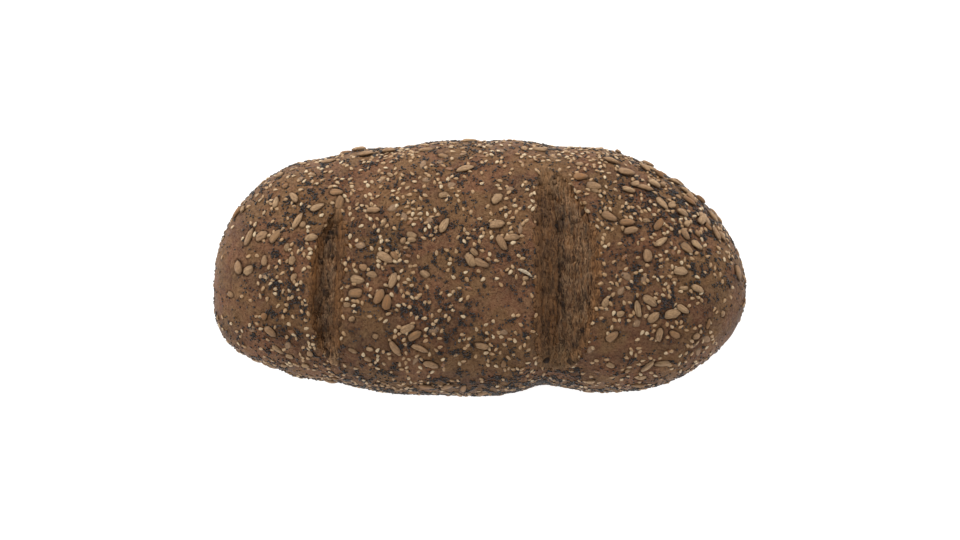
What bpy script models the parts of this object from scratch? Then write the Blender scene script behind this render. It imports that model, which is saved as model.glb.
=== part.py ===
"""Seeded loaf: a long, round-shouldered brown loaf with two torn cuts across its top.

The crust and the seeds baked into it are one solid. X runs along the loaf, Y across it and Z up.
The origin is under the middle of the loaf, on the flat sole that it stands on.
"""
import math
import random

import bmesh
import bpy
import numpy as np
from mathutils import Matrix, Vector
from mathutils.bvhtree import BVHTree

MM = 0.001
LEFT, RIGHT = -1, 1

# The loaf without its seeds
HALF_LENGTH = 139.8 * MM
HALF_WIDTH = 66.2 * MM
HEIGHT = 87.0 * MM
WAIST_HEIGHT = 35.0 * MM          # the loaf is widest here, and tucks in below it
TUCK_DEPTH = 49.0 * MM            # how far the lower half would reach down without its sole
SECTION_ROUNDNESS = 2.3           # 2 is an ellipse, more is squarer
RIDGE_SHIFT = 4.0 * MM            # the top ridge leans this far to the front
PLAN_ROUNDNESS = {LEFT: (2.65, 2.65), RIGHT: (2.9, 2.1)}       # near the middle, at the tip
PROFILE_ROUNDNESS = {LEFT: (2.6, 2.4), RIGHT: (2.6, 2.2)}
TIP_BOW = {LEFT: 11.5 * MM, RIGHT: 12.0 * MM}       # both tips swing to the front
TIP_BOW_POWER = {LEFT: 6.0, RIGHT: 2.6}
CENTRE_SHIFT = 0.0 * MM           # puts the middle of the finished box on the origin

# Shallow swells that keep the crust from looking turned: height, waves along, waves round, phase
SWELLS = [
    (0.9 * MM, 2.0, 1.0, 0.4),
    (0.7 * MM, 3.4, 2.0, 2.1),
    (0.5 * MM, 6.1, 3.0, 4.4),
]

# Where the loaf is pinched in beside its cuts: X, share of the half width, spread to -X and +X
BACK_PINCHES = [(-79 * MM, 0.035, 12 * MM, 12 * MM), (38 * MM, 0.018, 14 * MM, 14 * MM)]
FRONT_PINCHES = [(-79 * MM, 0.040, 12 * MM, 12 * MM), (34 * MM, 0.055, 9 * MM, 22 * MM)]

# The two cuts. One lip is nearly straight and the other one bulges away from it.
# Depths are given across the cut, from its -X lip (0) to its +X lip (1).
CUTS = [
    {
        "straight_lip": -72.4 * MM, "lean": 0.05, "bulge": LEFT,
        "middle": -8.5 * MM, "half_length": 41.0 * MM, "width": 17.4 * MM, "roundness": 2.6,
        "across": [0.0, 0.10, 0.34, 0.45, 0.54, 0.82, 0.93, 1.0],
        "depth": [0.0, 2.4 * MM, 6.6 * MM, 8.4 * MM, 7.0 * MM, 6.0 * MM, 3.0 * MM, 0.0],
    },
    {
        "straight_lip": 28.6 * MM, "lean": 0.0, "bulge": RIGHT,
        "middle": -1.0 * MM, "half_length": 56.0 * MM, "width": 32.6 * MM, "roundness": 2.3,
        "across": [0.0, 0.05, 0.20, 0.30, 0.36, 0.44, 0.70, 0.93, 1.0],
        "depth": [0.0, 3.6 * MM, 5.6 * MM, 6.8 * MM, 9.2 * MM, 7.2 * MM, 5.0 * MM, 2.6 * MM, 0.0],
    },
]
CUT_END_FADE = 0.30               # the last share of a cut's half length, where it runs out
LIP_HEIGHT = 1.0 * MM             # the crust swells beside a cut
LIP_SPREAD = 5.0 * MM
STRAND_DEPTH = 0.7 * MM           # lengthwise ridges of the torn crumb
STRAND_SPACING = 4.6 * MM

# The net of the crust
END_RINGS = 15                    # rings from the middle to each tip, before the cuts add theirs
CUT_RING_STEP = 2.1 * MM
CUT_MARGIN = 3.0 * MM
UPPER_SEGMENTS = 30
LOWER_SEGMENTS = 10
LOWER_EDGE_ANGLE = math.radians(-32)                # where the fine upper segments end

# Sunflower kernels: size, how deep they sit in the crust, and how they lie
KERNEL_SIZE = (8.8 * MM, 4.7 * MM, 2.5 * MM)
KERNEL_SIDES, KERNEL_BANDS = 6, 3
KERNEL_TAPER = 0.30               # one end is narrower than the other
KERNEL_PROUD = 0.22               # share of the thickness from the crust up to the kernel's middle
KERNEL_COUNT = 150
KERNEL_SPACING = 6.6 * MM
KERNEL_LOWEST = 9.0 * MM

# Kernels that catch the eye: X and Y in millimetres seen from above, turn from +X in degrees
MARKED_KERNELS = [
    (-96, 25, 60), (-108, 35, 95), (-98, 38, -60), (-86, 31, 28), (-89, 16, 20), (-122, 16, 60),
    (-115, 16, 25), (-108, 16, 55), (-127, 0, 100), (-122, -1, 25), (-110, -33, -45),
    (-50, 5, -25), (-64, -6, -10), (-46, -7, 70), (-65, -13, 5), (-53, -15, 65), (-49, -19, 80),
    (-38, -32, 30), (-34, -36, 35), (-31, -43, -20), (-45, -42, -60), (-26, -51, -30), (-19, 22, 70),
    (9, 36, 45), (9, 23, 15), (17, 16, 8), (11, 14, -60), (53, 48, 5), (60, 43, -5), (68, 27, -20),
    (94, 23, 50), (88, 7, 95), (105, -2, 0), (89, -17, -35), (83, -22, 100), (91, -26, 35),
    (101, -24, 10), (107, -21, -30), (70, -36, 40), (94, -35, 80), (102, -35, -35), (88, -51, 60),
]

# Patches of bare crust and of crowded crust seen from above, in millimetres: X, Y, half sizes
BARE_PATCHES = [(-137, -8, 15, 34), (13, -27, 15, 14), (74, -41, 13, 6), (134, -38, 15, 22)]
CROWDED_PATCHES = [(100, 25, 34, 34), (-50, -10, 22, 24), (-105, 20, 26, 26), (95, -20, 34, 26)]
SPARSE_SHARE = 0.35               # chance of a kernel outside the crowded patches

SEED_DRAW = 27

CRUST_COLOUR = (0.125, 0.075, 0.044, 1.0)
CRUST_ROUGHNESS = 0.75


def by_end(table, x):
    """Pick the value of the end that each X belongs to."""
    return np.where(x < 0, table[LEFT], table[RIGHT])


def end_fall(x, table):
    """1 in the middle of the loaf and 0 at its tips, along a rounded curve."""
    reach = np.minimum(np.abs(x) / HALF_LENGTH, 1.0)
    near_middle = by_end({end: pair[0] for end, pair in table.items()}, x)
    at_tip = by_end({end: pair[1] for end, pair in table.items()}, x)
    roundness = near_middle + (at_tip - near_middle) * reach ** 2.5
    return (1.0 - reach ** roundness) ** (1.0 / roundness)


def pinch(x, pinches):
    """Share of the half width that is lost beside the cuts."""
    lost = np.zeros_like(x)
    for place, share, spread_left, spread_right in pinches:
        spread = np.where(x < place, spread_left, spread_right)
        lost += share * np.exp(-((x - place) / spread) ** 2)
    return lost


def superellipse(angle, roundness):
    """Across and up shares of a rounded section at an angle from the back (+Y)."""
    across, up = np.cos(angle), np.sin(angle)
    power = 2.0 / roundness
    return np.sign(across) * np.abs(across) ** power, np.sign(up) * np.abs(up) ** power


def crust_frame(x, angle):
    """Points of the uncut crust and the way inwards at each of them."""
    plan = end_fall(x, PLAN_ROUNDNESS)
    profile = end_fall(x, PROFILE_ROUNDNESS)
    across, up = superellipse(angle, SECTION_ROUNDNESS)
    lost = np.where(across > 0, pinch(x, BACK_PINCHES), pinch(x, FRONT_PINCHES))
    half_width = HALF_WIDTH * plan * (1.0 - lost)
    reach = np.where(up > 0, HEIGHT - WAIST_HEIGHT, TUCK_DEPTH) * profile

    bow = by_end(TIP_BOW, x) * (np.abs(x) / HALF_LENGTH) ** by_end(TIP_BOW_POWER, x)
    ridge = RIDGE_SHIFT * np.maximum(up, 0.0) ** 2 * plan
    y = CENTRE_SHIFT + across * half_width - bow - ridge
    z = WAIST_HEIGHT + up * reach

    power = SECTION_ROUNDNESS - 1.0
    out_y = np.sign(across) * np.abs(across) ** power / np.maximum(half_width, MM)
    out_z = np.sign(up) * np.abs(up) ** power / np.maximum(reach, MM)
    length = np.sqrt(out_y ** 2 + out_z ** 2) + 1e-9
    out_y, out_z = out_y / length, out_z / length

    swell = np.zeros_like(x)
    for height, along, around, phase in SWELLS:
        swell += height * np.sin(along * math.pi * x / HALF_LENGTH + around * angle + phase)
    swell *= plan
    return y + out_y * swell, z + out_z * swell, -out_y, -out_z


def cut_place(cut, x, y):
    """Where a point lies in a cut: across from lip to lip, and along from -1 to 1."""
    along = (y - cut["middle"]) / cut["half_length"]
    inside = np.minimum(np.abs(along), 1.0)
    width = cut["width"] * (1.0 - inside ** cut["roundness"]) ** (1.0 / cut["roundness"])
    straight = cut["straight_lip"] + cut["lean"] * (y - cut["middle"])
    low_lip = straight if cut["bulge"] == RIGHT else straight - width
    return (x - low_lip) / np.maximum(width, MM), along, low_lip, low_lip + width


def cut_depth(x, y):
    """How far the crust drops at a point seen from above; less than nothing on a lip."""
    depth = np.zeros_like(x)
    for cut in CUTS:
        across, along, low_lip, high_lip = cut_place(cut, x, y)
        fade = np.clip((1.0 - np.abs(along)) / CUT_END_FADE, 0.0, 1.0)
        fade = fade * fade * (3.0 - 2.0 * fade)
        floor = np.interp(across, cut["across"], cut["depth"])
        strands = STRAND_DEPTH * np.sin(2 * math.pi * (x - low_lip) / STRAND_SPACING)
        wall = np.clip(floor / (3 * MM), 0.0, 1.0)
        beside = np.where(across < 0.5, low_lip - x, x - high_lip)
        lip = LIP_HEIGHT * np.exp(-((beside - LIP_SPREAD / 2) / LIP_SPREAD) ** 2)
        lip *= (beside > 0) * np.clip(beside / (1.5 * MM), 0.0, 1.0)
        depth += fade * (floor + strands * wall - lip)
    return depth


def crust_points(x, angle):
    """Points of the crust with its cuts, for rings at X and angles round them."""
    y, z, in_y, in_z = crust_frame(x, angle)
    depth = cut_depth(x, y) * np.clip((z - WAIST_HEIGHT) / (6 * MM), 0.0, 1.0)
    return y + in_y * depth, z + in_z * depth


def in_a_cut(x, y, margin):
    """Whether a seed's middle would lie in a cut or nearer to it than the margin."""
    for cut in CUTS:
        _, along, low_lip, high_lip = cut_place(cut, np.float64(x), np.float64(y))
        if abs(along) < 1.0 and low_lip - margin < x < high_lip + margin:
            return True
    return False


def in_a_patch(x, y, patches):
    """Whether a point seen from above lies in one of the oval patches."""
    return any(
        ((x / MM - px) / rx) ** 2 + ((y / MM - py) / ry) ** 2 < 1.0 for px, py, rx, ry in patches
    )


def ring_stations():
    """X of every ring: rounded spacing towards the tips, and close together over the cuts."""
    fine = []
    for cut in CUTS:
        lips = [cut["straight_lip"], cut["straight_lip"] + cut["bulge"] * cut["width"]]
        low, high = min(lips) - CUT_MARGIN, max(lips) + CUT_MARGIN
        steps = round((high - low) / CUT_RING_STEP)
        fine.append([low + (high - low) * i / steps for i in range(steps + 1)])

    rings = []
    for i in range(1, 2 * END_RINGS):
        turn = math.pi / 2 * (i / END_RINGS - 1.0)
        roundness = PLAN_ROUNDNESS[LEFT if turn < 0 else RIGHT][1]
        x = HALF_LENGTH * math.copysign(abs(math.sin(turn)) ** (2.0 / roundness), turn)
        if all(x < span[0] - CUT_RING_STEP or x > span[-1] + CUT_RING_STEP for span in fine):
            rings.append(x)
    return sorted(rings + [x for span in fine for x in span])


def segment_angles():
    """Angles round a ring from the back (+Y) over the top, finer above than below."""
    upper_turn = math.pi - 2 * LOWER_EDGE_ANGLE
    lower_turn = 2 * math.pi - upper_turn
    upper = [LOWER_EDGE_ANGLE + upper_turn * i / UPPER_SEGMENTS for i in range(UPPER_SEGMENTS)]
    start = LOWER_EDGE_ANGLE + upper_turn
    return upper + [start + lower_turn * i / LOWER_SEGMENTS for i in range(LOWER_SEGMENTS)]


def make_crust():
    """A sphere's net laid along X and pulled onto the loaf, then cut flat at the sole."""
    stations, angles = ring_stations(), segment_angles()
    bm = bmesh.new()
    bmesh.ops.create_uvsphere(
        bm, u_segments=len(angles), v_segments=len(stations) + 1, radius=1.0
    )
    ring_turn = math.pi / (len(stations) + 1)
    segment_turn = 2 * math.pi / len(angles)
    for vert in bm.verts:
        ring = round(math.acos(max(-1.0, min(1.0, -vert.co.z))) / ring_turn)
        if ring in (0, len(stations) + 1):
            x, angle = (HALF_LENGTH if ring else -HALF_LENGTH), 0.0
        else:
            segment = round(math.atan2(vert.co.y, vert.co.x) / segment_turn) % len(angles)
            x, angle = stations[ring - 1], angles[segment]
        y, z = crust_points(np.array([x]), np.array([angle]))
        vert.co = (x, y[0], z[0])

    everything = bm.verts[:] + bm.edges[:] + bm.faces[:]
    cut = bmesh.ops.bisect_plane(
        bm, geom=everything, plane_co=(0, 0, 0), plane_no=(0, 0, -1), clear_outer=True
    )
    rim = [piece for piece in cut["geom_cut"] if isinstance(piece, bmesh.types.BMEdge)]
    bmesh.ops.contextual_create(bm, geom=rim)
    bmesh.ops.recalc_face_normals(bm, faces=bm.faces[:])
    return new_object("loaf", bm)


def new_object(name, bm):
    """An object of flat triangles, because a union needs faces that are truly flat."""
    bmesh.ops.triangulate(bm, faces=bm.faces[:])
    mesh = bpy.data.meshes.new(name)
    bm.to_mesh(mesh)
    bm.free()
    return bpy.data.objects.new(name, mesh)


def resting_place(crust, x, y, z, direction):
    """The crust's point and outward normal, looking along a direction from a point outside."""
    point, normal, _, _ = crust.ray_cast(Vector((x, y, z)), direction)
    return point, normal


def seed_matrix(point, normal, turn, size, proud):
    """Lay a seed on the crust with its long side turned from +X."""
    heading = Vector((math.cos(turn), math.sin(turn), 0.0))
    along = (heading - normal * heading.dot(normal)).normalized()
    across = normal.cross(along)
    turned = Matrix((along, across, normal)).transposed().to_4x4()
    middle = point + normal * (proud * size[2])
    return Matrix.Translation(middle) @ turned @ Matrix.Diagonal((*size, 1.0))


def kernel_places(crust, draw):
    """The kernels that catch the eye, then the rest by a seeded rule: (point, normal, turn)."""
    places = []
    above = 2 * HEIGHT
    for x, y, turn in MARKED_KERNELS:
        point, normal = resting_place(crust, x * MM, y * MM, above, Vector((0, 0, -1)))
        places.append((point, normal, math.radians(turn)))

    while len(places) < KERNEL_COUNT:
        x = draw.uniform(-HALF_LENGTH, HALF_LENGTH)
        angle = draw.uniform(-0.8, math.pi + 0.8)
        chance, turn = draw.random(), draw.uniform(0.0, math.pi)
        outward = Vector((0.0, math.cos(angle), math.sin(angle)))
        start = Vector((x * 0.9, 0.0, WAIST_HEIGHT))
        point, normal = resting_place(crust, *start, outward)
        if point is None or point.z < KERNEL_LOWEST:
            continue
        if in_a_cut(point.x, point.y, KERNEL_SIZE[0] / 2) and point.z > WAIST_HEIGHT:
            continue
        if in_a_patch(point.x, point.y, BARE_PATCHES):
            continue
        crowded = in_a_patch(point.x, point.y, CROWDED_PATCHES)
        if not crowded and chance > SPARSE_SHARE:
            continue
        if all((point - other).length > KERNEL_SPACING for other, _, _ in places):
            places.append((point, normal, turn))
    return places


def make_kernel(name, matrix):
    """A low drop shape: round at one end and narrower at the other."""
    bm = bmesh.new()
    bmesh.ops.create_uvsphere(
        bm, u_segments=KERNEL_SIDES, v_segments=KERNEL_BANDS, radius=0.5,
        matrix=Matrix.Rotation(math.pi / 2, 4, "Y"),
    )
    for vert in bm.verts:
        vert.co.y *= 1.0 - KERNEL_TAPER * 2 * vert.co.x
    bmesh.ops.transform(bm, matrix=matrix, verts=bm.verts[:])
    return new_object(name, bm)


def make_seeds(crust_object):
    """Every seed as its own small body, in one collection."""
    draw = random.Random(SEED_DRAW)
    bm = bmesh.new()
    bm.from_mesh(crust_object.data)
    crust = BVHTree.FromBMesh(bm)
    bm.free()

    seeds = bpy.data.collections.new("seeds")
    bpy.context.scene.collection.children.link(seeds)
    for index, (point, normal, turn) in enumerate(kernel_places(crust, draw)):
        matrix = seed_matrix(point, normal, turn, KERNEL_SIZE, KERNEL_PROUD)
        seeds.objects.link(make_kernel(f"kernel_{index}", matrix))
    return seeds


def face_islands(bm):
    """Faces that hang together along their edges, as one set for each body."""
    islands, left = [], set(bm.faces)
    while left:
        island, edge_of_search = set(), [left.pop()]
        while edge_of_search:
            face = edge_of_search.pop()
            island.add(face)
            for edge in face.edges:
                for neighbour in edge.link_faces:
                    if neighbour in left:
                        left.remove(neighbour)
                        edge_of_search.append(neighbour)
        islands.append(island)
    return islands


def drop_scraps(mesh):
    """Remove the slivers that a union leaves where a seed only grazes the crust."""
    bm = bmesh.new()
    bm.from_mesh(mesh)
    islands = sorted(face_islands(bm), key=len)
    scraps = [face for island in islands[:-1] for face in island]
    bmesh.ops.delete(bm, geom=scraps, context="FACES")
    bm.to_mesh(mesh)
    bm.free()


def join_seeds(loaf, seeds):
    """One union makes the crust and its seeds a single solid."""
    union = loaf.modifiers.new("seeds", "BOOLEAN")
    union.operation = "UNION"
    union.operand_type = "COLLECTION"
    union.collection = seeds
    union.solver = "EXACT"
    depsgraph = bpy.context.evaluated_depsgraph_get()
    joined = bpy.data.meshes.new_from_object(loaf.evaluated_get(depsgraph))
    loaf.modifiers.remove(union)
    loaf.data = joined
    drop_scraps(joined)
    for seed in list(seeds.objects):
        bpy.data.objects.remove(seed)
    bpy.data.collections.remove(seeds)


def crust_material():
    """Baked brown crust: dark, dull and slightly rough."""
    material = bpy.data.materials.new("baked_crust")
    material.use_nodes = True
    shader = material.node_tree.nodes["Principled BSDF"]
    shader.inputs["Base Color"].default_value = CRUST_COLOUR
    shader.inputs["Roughness"].default_value = CRUST_ROUGHNESS
    shader.inputs["Metallic"].default_value = 0.0
    return material


def main():
    for leftover in list(bpy.data.objects):
        bpy.data.objects.remove(leftover)
    collection = bpy.data.collections.new("seeded_loaf")
    bpy.context.scene.collection.children.link(collection)

    loaf = make_crust()
    collection.objects.link(loaf)
    join_seeds(loaf, make_seeds(loaf))
    loaf.data.materials.clear()
    loaf.data.materials.append(crust_material())
    loaf.data.shade_flat()


main()
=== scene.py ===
"""Seeded loaf: its crust, torn cuts and seeds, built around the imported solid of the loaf.

X runs along the loaf, Y across it to the back and Z up. Lengths are in metres, and the loaf
stands on its sole at Z = 0, with the origin under its middle.
"""
import math
import random
from functools import partial

import bmesh
import bpy
import numpy as np
from bpy.props import FloatProperty, FloatVectorProperty, IntProperty, PointerProperty
from mathutils import Matrix, Vector, noise
from mathutils.bvhtree import BVHTree


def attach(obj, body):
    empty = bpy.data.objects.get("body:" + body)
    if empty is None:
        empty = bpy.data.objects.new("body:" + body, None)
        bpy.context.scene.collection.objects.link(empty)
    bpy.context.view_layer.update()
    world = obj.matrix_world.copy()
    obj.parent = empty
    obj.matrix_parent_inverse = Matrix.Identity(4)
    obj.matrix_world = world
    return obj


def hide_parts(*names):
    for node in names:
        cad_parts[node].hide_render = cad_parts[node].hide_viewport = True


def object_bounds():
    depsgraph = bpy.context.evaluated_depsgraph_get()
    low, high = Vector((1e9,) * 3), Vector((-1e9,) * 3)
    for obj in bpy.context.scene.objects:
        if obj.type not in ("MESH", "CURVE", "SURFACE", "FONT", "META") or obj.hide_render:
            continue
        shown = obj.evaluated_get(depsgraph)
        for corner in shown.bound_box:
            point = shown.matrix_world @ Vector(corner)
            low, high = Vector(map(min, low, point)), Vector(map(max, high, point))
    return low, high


bl_info = {
    "name": "Seeded loaf",
    "version": (1, 0, 0),
    "blender": (4, 5, 0),
    "location": "3D View > Sidebar > Loaf",
    "description": "A long brown loaf with torn cuts, sunflower kernels, sesame and poppy seeds",
    "category": "Add Mesh",
}

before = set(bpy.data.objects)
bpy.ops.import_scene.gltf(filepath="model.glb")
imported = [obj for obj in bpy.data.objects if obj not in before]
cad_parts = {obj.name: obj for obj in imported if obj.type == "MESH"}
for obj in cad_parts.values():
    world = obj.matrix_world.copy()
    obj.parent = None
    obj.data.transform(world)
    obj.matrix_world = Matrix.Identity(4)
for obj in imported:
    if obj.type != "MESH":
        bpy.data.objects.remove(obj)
CAD_LOW, CAD_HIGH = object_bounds()

MM = 0.001
CM2 = 0.0001                      # a square centimetre, in square metres
LEFT, RIGHT = -1, 1
WHITE, BLACK = (1.0, 1.0, 1.0, 1.0), (0.0, 0.0, 0.0, 1.0)
SOFT = 0.55                       # roughness of most noise patterns, which keeps them soft

# The form of the loaf without its seeds, as in the solid
HALF_LENGTH = (CAD_HIGH.x - CAD_LOW.x) / 2
HALF_WIDTH = 66.2 * MM
HEIGHT = 87.0 * MM
WAIST_HEIGHT = 35.0 * MM          # the loaf is widest here, and tucks in below it
TUCK_DEPTH = 49.0 * MM            # how far the lower half would reach down without its sole
SECTION_ROUNDNESS = 2.3           # 2 is an ellipse, more is squarer
RIDGE_SHIFT = 4.0 * MM            # the top ridge leans this far to the front
PLAN_ROUNDNESS = {LEFT: (2.65, 2.65), RIGHT: (2.9, 2.1)}       # near the middle, at the tip
PROFILE_ROUNDNESS = {LEFT: (2.6, 2.4), RIGHT: (2.6, 2.2)}
TIP_BOW = {LEFT: 11.5 * MM, RIGHT: 12.0 * MM}       # both tips swing to the front
TIP_BOW_POWER = {LEFT: 6.0, RIGHT: 2.6}

# Shallow swells of the crust: height, waves along, waves round, phase
SWELLS = [
    (0.9 * MM, 2.0, 1.0, 0.4),
    (0.7 * MM, 3.4, 2.0, 2.1),
    (0.5 * MM, 6.1, 3.0, 4.4),
]

# Where the loaf is pinched in beside its cuts: X, share of the half width, spread to -X and +X
BACK_PINCHES = [(-79 * MM, 0.035, 12 * MM, 12 * MM), (38 * MM, 0.018, 14 * MM, 14 * MM)]
FRONT_PINCHES = [(-79 * MM, 0.040, 12 * MM, 12 * MM), (34 * MM, 0.055, 9 * MM, 22 * MM)]

# The two cuts. One lip is nearly straight and the other one bulges away from it.
# Depths and shares of shaded crumb are given across the cut, from its -X lip (0) to its +X
# lip (1). A sharp crease in the crumb lies at a share of the width, about a share of the half
# length. The torn crumb stops short of the front and back ends by a gap, more of it at the
# lips, and the torn lip that bulges is drawn in towards both. Pairs are for the front end and
# the back one.
# Two shares of painted shade are also given: along the low lip on the crust, and in a rim inside
# the front and back ends.
CUTS = [
    {
        "straight_lip": -71.2 * MM, "lean": 0.05, "bulge": LEFT,
        "middle": -8.5 * MM, "half_length": 41.0 * MM, "width": 16.8 * MM, "roundness": 2.6,
        "crease": 0.42, "crease_middle": 0.25, "crease_share": 0.25,
        "across": [0.0, 0.12, 0.26, 0.40, 0.60, 0.76, 0.90, 1.0],
        "depth": [0.0, 2.6 * MM, 4.8 * MM, 5.4 * MM, 5.4 * MM, 5.0 * MM, 3.4 * MM, 0.0],
        "shaded": [0.5, 0.6, 0.5, 0.45, 0.45, 0.6, 0.8, 0.7],
        "golden": 0.9, "golden_strip": 0.0,
        "end_gaps": (0.6 * MM, 3.0 * MM), "end_rounding": (2.5 * MM, 5.0 * MM),
        "drawn_in": (2.5 * MM, 3.0 * MM), "pale_ends": (0.0, 0.8), "dark_ends": (0.0, 0.3),
        "dark_lip": 0.0,
    },
    {
        "straight_lip": 28.6 * MM, "lean": 0.0, "bulge": RIGHT,
        "middle": -1.0 * MM, "half_length": 56.0 * MM, "width": 32.6 * MM, "roundness": 2.3,
        "crease": 0.36, "crease_middle": 0.28, "crease_share": 1.0,
        "across": [0.0, 0.05, 0.20, 0.30, 0.36, 0.44, 0.70, 0.93, 1.0],
        "depth": [0.0, 3.6 * MM, 5.6 * MM, 6.8 * MM, 9.2 * MM, 7.2 * MM, 5.0 * MM, 2.6 * MM, 0.0],
        "shaded": [0.8, 1.0, 0.8, 0.8, 0.8, 0.5, 0.35, 0.3, 0.2],
        "golden": 0.75, "golden_strip": 0.5,
        "end_gaps": (5.0 * MM, 2.6 * MM), "end_rounding": (1.5 * MM, 6.0 * MM),
        "drawn_in": (0.0, 4.5 * MM), "pale_ends": (1.2, 1.1), "dark_ends": (0.4, 0.4),
        "dark_lip": 0.45,
    },
]
CRUMB_NAMES = ("torn_crumb_left", "torn_crumb_right")
SHADED_TINT = (0.40, 0.38, 0.36, 1.0)
CUT_END_FADE = 0.30               # the last share of a cut's half length, where it runs out
LIP_HEIGHT = 1.0 * MM             # the crust swells beside a cut
LIP_SPREAD = 5.0 * MM
STRAND_DEPTH = 0.25 * MM          # lengthwise ridges of the torn crumb
STRAND_SPACING = 4.6 * MM

# How the torn lips differ from the smooth ones of the solid
LIP_RAGGEDNESS = 1.1 * MM         # how far a lip wanders from its smooth line
LIP_WAVES = [(11.3 * MM, 0.5, 0.3), (5.2 * MM, 0.3, 1.9), (2.3 * MM, 0.2, 4.0)]
ARCH_SHARE = 0.30                 # how far the straight lip bows in at the ends of a cut
ARCH_POWER = 5.0                  # 2 is a round arch, more is squarer
TORN_SPREAD = (0.7 * MM, 2.0 * MM)                  # torn crust beside a cut, and at its ends
LIP_EDGE = 0.5 * MM               # the crust drops into a cut over this width
LIP_STEP = 0.7 * MM               # the torn crumb starts this far below the lips
CRUMB_GAP = 4.5 * MM              # room below the torn crumb, for its pores
CRUMB_TUCK = 2.5 * MM             # how far the crumb runs on below the crust
CRUMB_THICKNESS = 2.0 * MM
CREASE_WIDTH = 1.4 * MM
CREASE_WANDER = 1.3               # the crease wanders by this share of what a lip does
GRAIN_SIZE = 2.2 * MM             # the crust's fine grain
WAIST_EASING = 6.0 * MM           # the cuts come in over this height above the waist
SOLE_HEIGHT = 3.0 * MM            # the crust is calmer this far up from the sole
SHOULDER_TURN = (0.35, 0.95)      # how upright the crust is where a shoulder begins and is full
LIP_SHADE_WIDTH = 2.2 * MM          # the painted shade along the low lip of a cut
RIM_PLACE, RIM_WIDTH = 0.6 * MM, 0.9 * MM           # the rim of painted shade inside the ends of a cut, which also opens pits there
CRUMB_MARGIN = 3.0 * MM           # the net of the crumb starts this far outside the lips

# The net of the crust. Its rings run along the lips of the cuts.
CRUST_STEP = 0.95 * MM
LIP_RINGS = [-2.4, -1.6, -1.0, -0.6, -0.3, -0.05, 0.15, 0.4, 0.8]         # mm into the cut
CHANNEL_STEP = 2.6 * MM
FOLLOW_SPREAD = 42.0 * MM         # rings straighten out over this distance from a cut
NARROWEST = 0.5                   # share of a cut's width that its rings close in to
UPPER_SEGMENTS = 236
LOWER_SEGMENTS = 34
LOWER_EDGE_ANGLE = math.radians(-32)                # where the fine upper segments end
TIP_GAP = 0.12 * MM               # the last ring stops this far from the tip
CRUMB_STEP = (0.38 * MM, 0.56 * MM)                 # the finer net of the torn crumb

# Sunflower kernels, as in the solid
KERNEL_SIZE = (8.8 * MM, 4.7 * MM, 2.5 * MM)
# The marked kernels, the other whole ones, and broken or small ones: least and most share of
# the thickness from the crust up to the middle, then of each side
MARKED_PROUD, MARKED_SPREAD = (-0.18, 0.16), ((0.76, 1.06), (0.66, 1.06), (0.80, 1.05))
KERNEL_PROUD, KERNEL_SPREAD = (-0.28, 0.14), ((0.66, 0.98), (0.60, 0.92), (0.80, 1.1))
BIT_PROUD, BIT_SPREAD = (-0.30, 0.04), ((0.36, 0.64), (0.50, 0.80), (0.60, 0.95))
KERNEL_SPACING = 6.6 * MM
KERNEL_LOWEST = 9.0 * MM
KERNEL_STEEPEST, BIT_STEEPEST = 0.45, 0.80          # the rest lie where the crust tips this far
GROOVE_DEPTH = 0.6 * MM           # the crust is pressed in round each kernel
KERNEL_COUNT = 140
PILED_SPACING = 4.4 * MM          # kernels nearly overlap in the piled patches
PILED_LIFT = 0.30                 # and stand prouder there, by this share of their thickness
SPARSE_SHARE = 0.35               # chance of a kernel outside the crowded patches
BIT_COUNT = 90                    # broken kernels and small ones, sunk in the crust
BIT_SPACING = 4.2 * MM
SEED_DRAW = 27
SPREAD_REACH = 0.9                # spread kernels and flakes keep off the tips of the loaf
SPREAD_SPACING = 6.0 * MM         # flakes and linseeds keep this far from what lies there

# Length, width and thickness of the scattered seeds, as shares of their length
SESAME_SHARES = (1.0, 0.65, 0.36)
POPPY_SHARES = (1.0, 0.84, 0.70)
CRUMB_SHARES = (1.0, 0.75, 0.60)
SEEDS_START = (5.0 * MM, 16.0 * MM)                 # heights with no and with all of the seeds
POPPY_BASE, POPPY_ON_FLANKS, SESAME_BASE = 0.25, 0.26, 0.55     # shares outside the patches
POPPY_THINNEST = 0.6              # share of the poppy seeds that is left low down
POPPY_HEIGHTS = (15.0 * MM, 45.0 * MM)              # where they are thinnest, and all there
SESAME_ROW, SESAME_IN_ROW = 1.5 * MM, 0.7           # sesame gathers this far from a lip
CRUMBS_BY_LIP = (0.4, 2.0 * MM)   # share of loose crumbs beside a lip, and how far they spread

# The noise that crowds each kind of fine seed. The crust gets painted shade under the poppy
# clusters.
CLUSTER_SHIFT = 3.7               # from one kind of seed to the next
CLUSTER_DETAIL = 2.0
CLUSTER_ROUGHNESS = 0.6
POPPY_CLUSTER = 3.4 * MM
POPPY_NUMBER = 2                  # poppy seeds are the second kind that is scattered

# The camera looks straight down. Marked places are where it sees them at the widest level.
CAMERA_DISTANCE = 2.4             # from the camera down to the loaf's widest level
SENSOR_WIDTH = 36.0               # millimetres
FRAME_WIDTH = 505.2 * MM          # width of the view at the loaf's widest level
CAMERA_PLACE = (0.0, -1.0 * MM, WAIST_HEIGHT + CAMERA_DISTANCE)

# The table and the lights: name, place, size in metres and power in watts
TABLE_SIZE, TABLE_GAP, TABLE_GLOW = 8.0, 0.2 * MM, 0.80
SOFTBOXES = [
    ("back_softbox", (-0.1, 1.3, 0.75), (1.2, 0.5), 20.8),
    ("left_softbox", (-1.4, 0.1, 0.6), (0.8, 0.6), 10.5),
    ("right_softbox", (1.4, 0.1, 0.6), (0.8, 0.6), 7.0),
    ("front_softbox", (0.0, -1.4, 0.6), (1.4, 0.6), 7.8),
]
LIGHTS_AIM = (0.0, 0.0, 0.03)
TENT_LIGHT = 0.30

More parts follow.
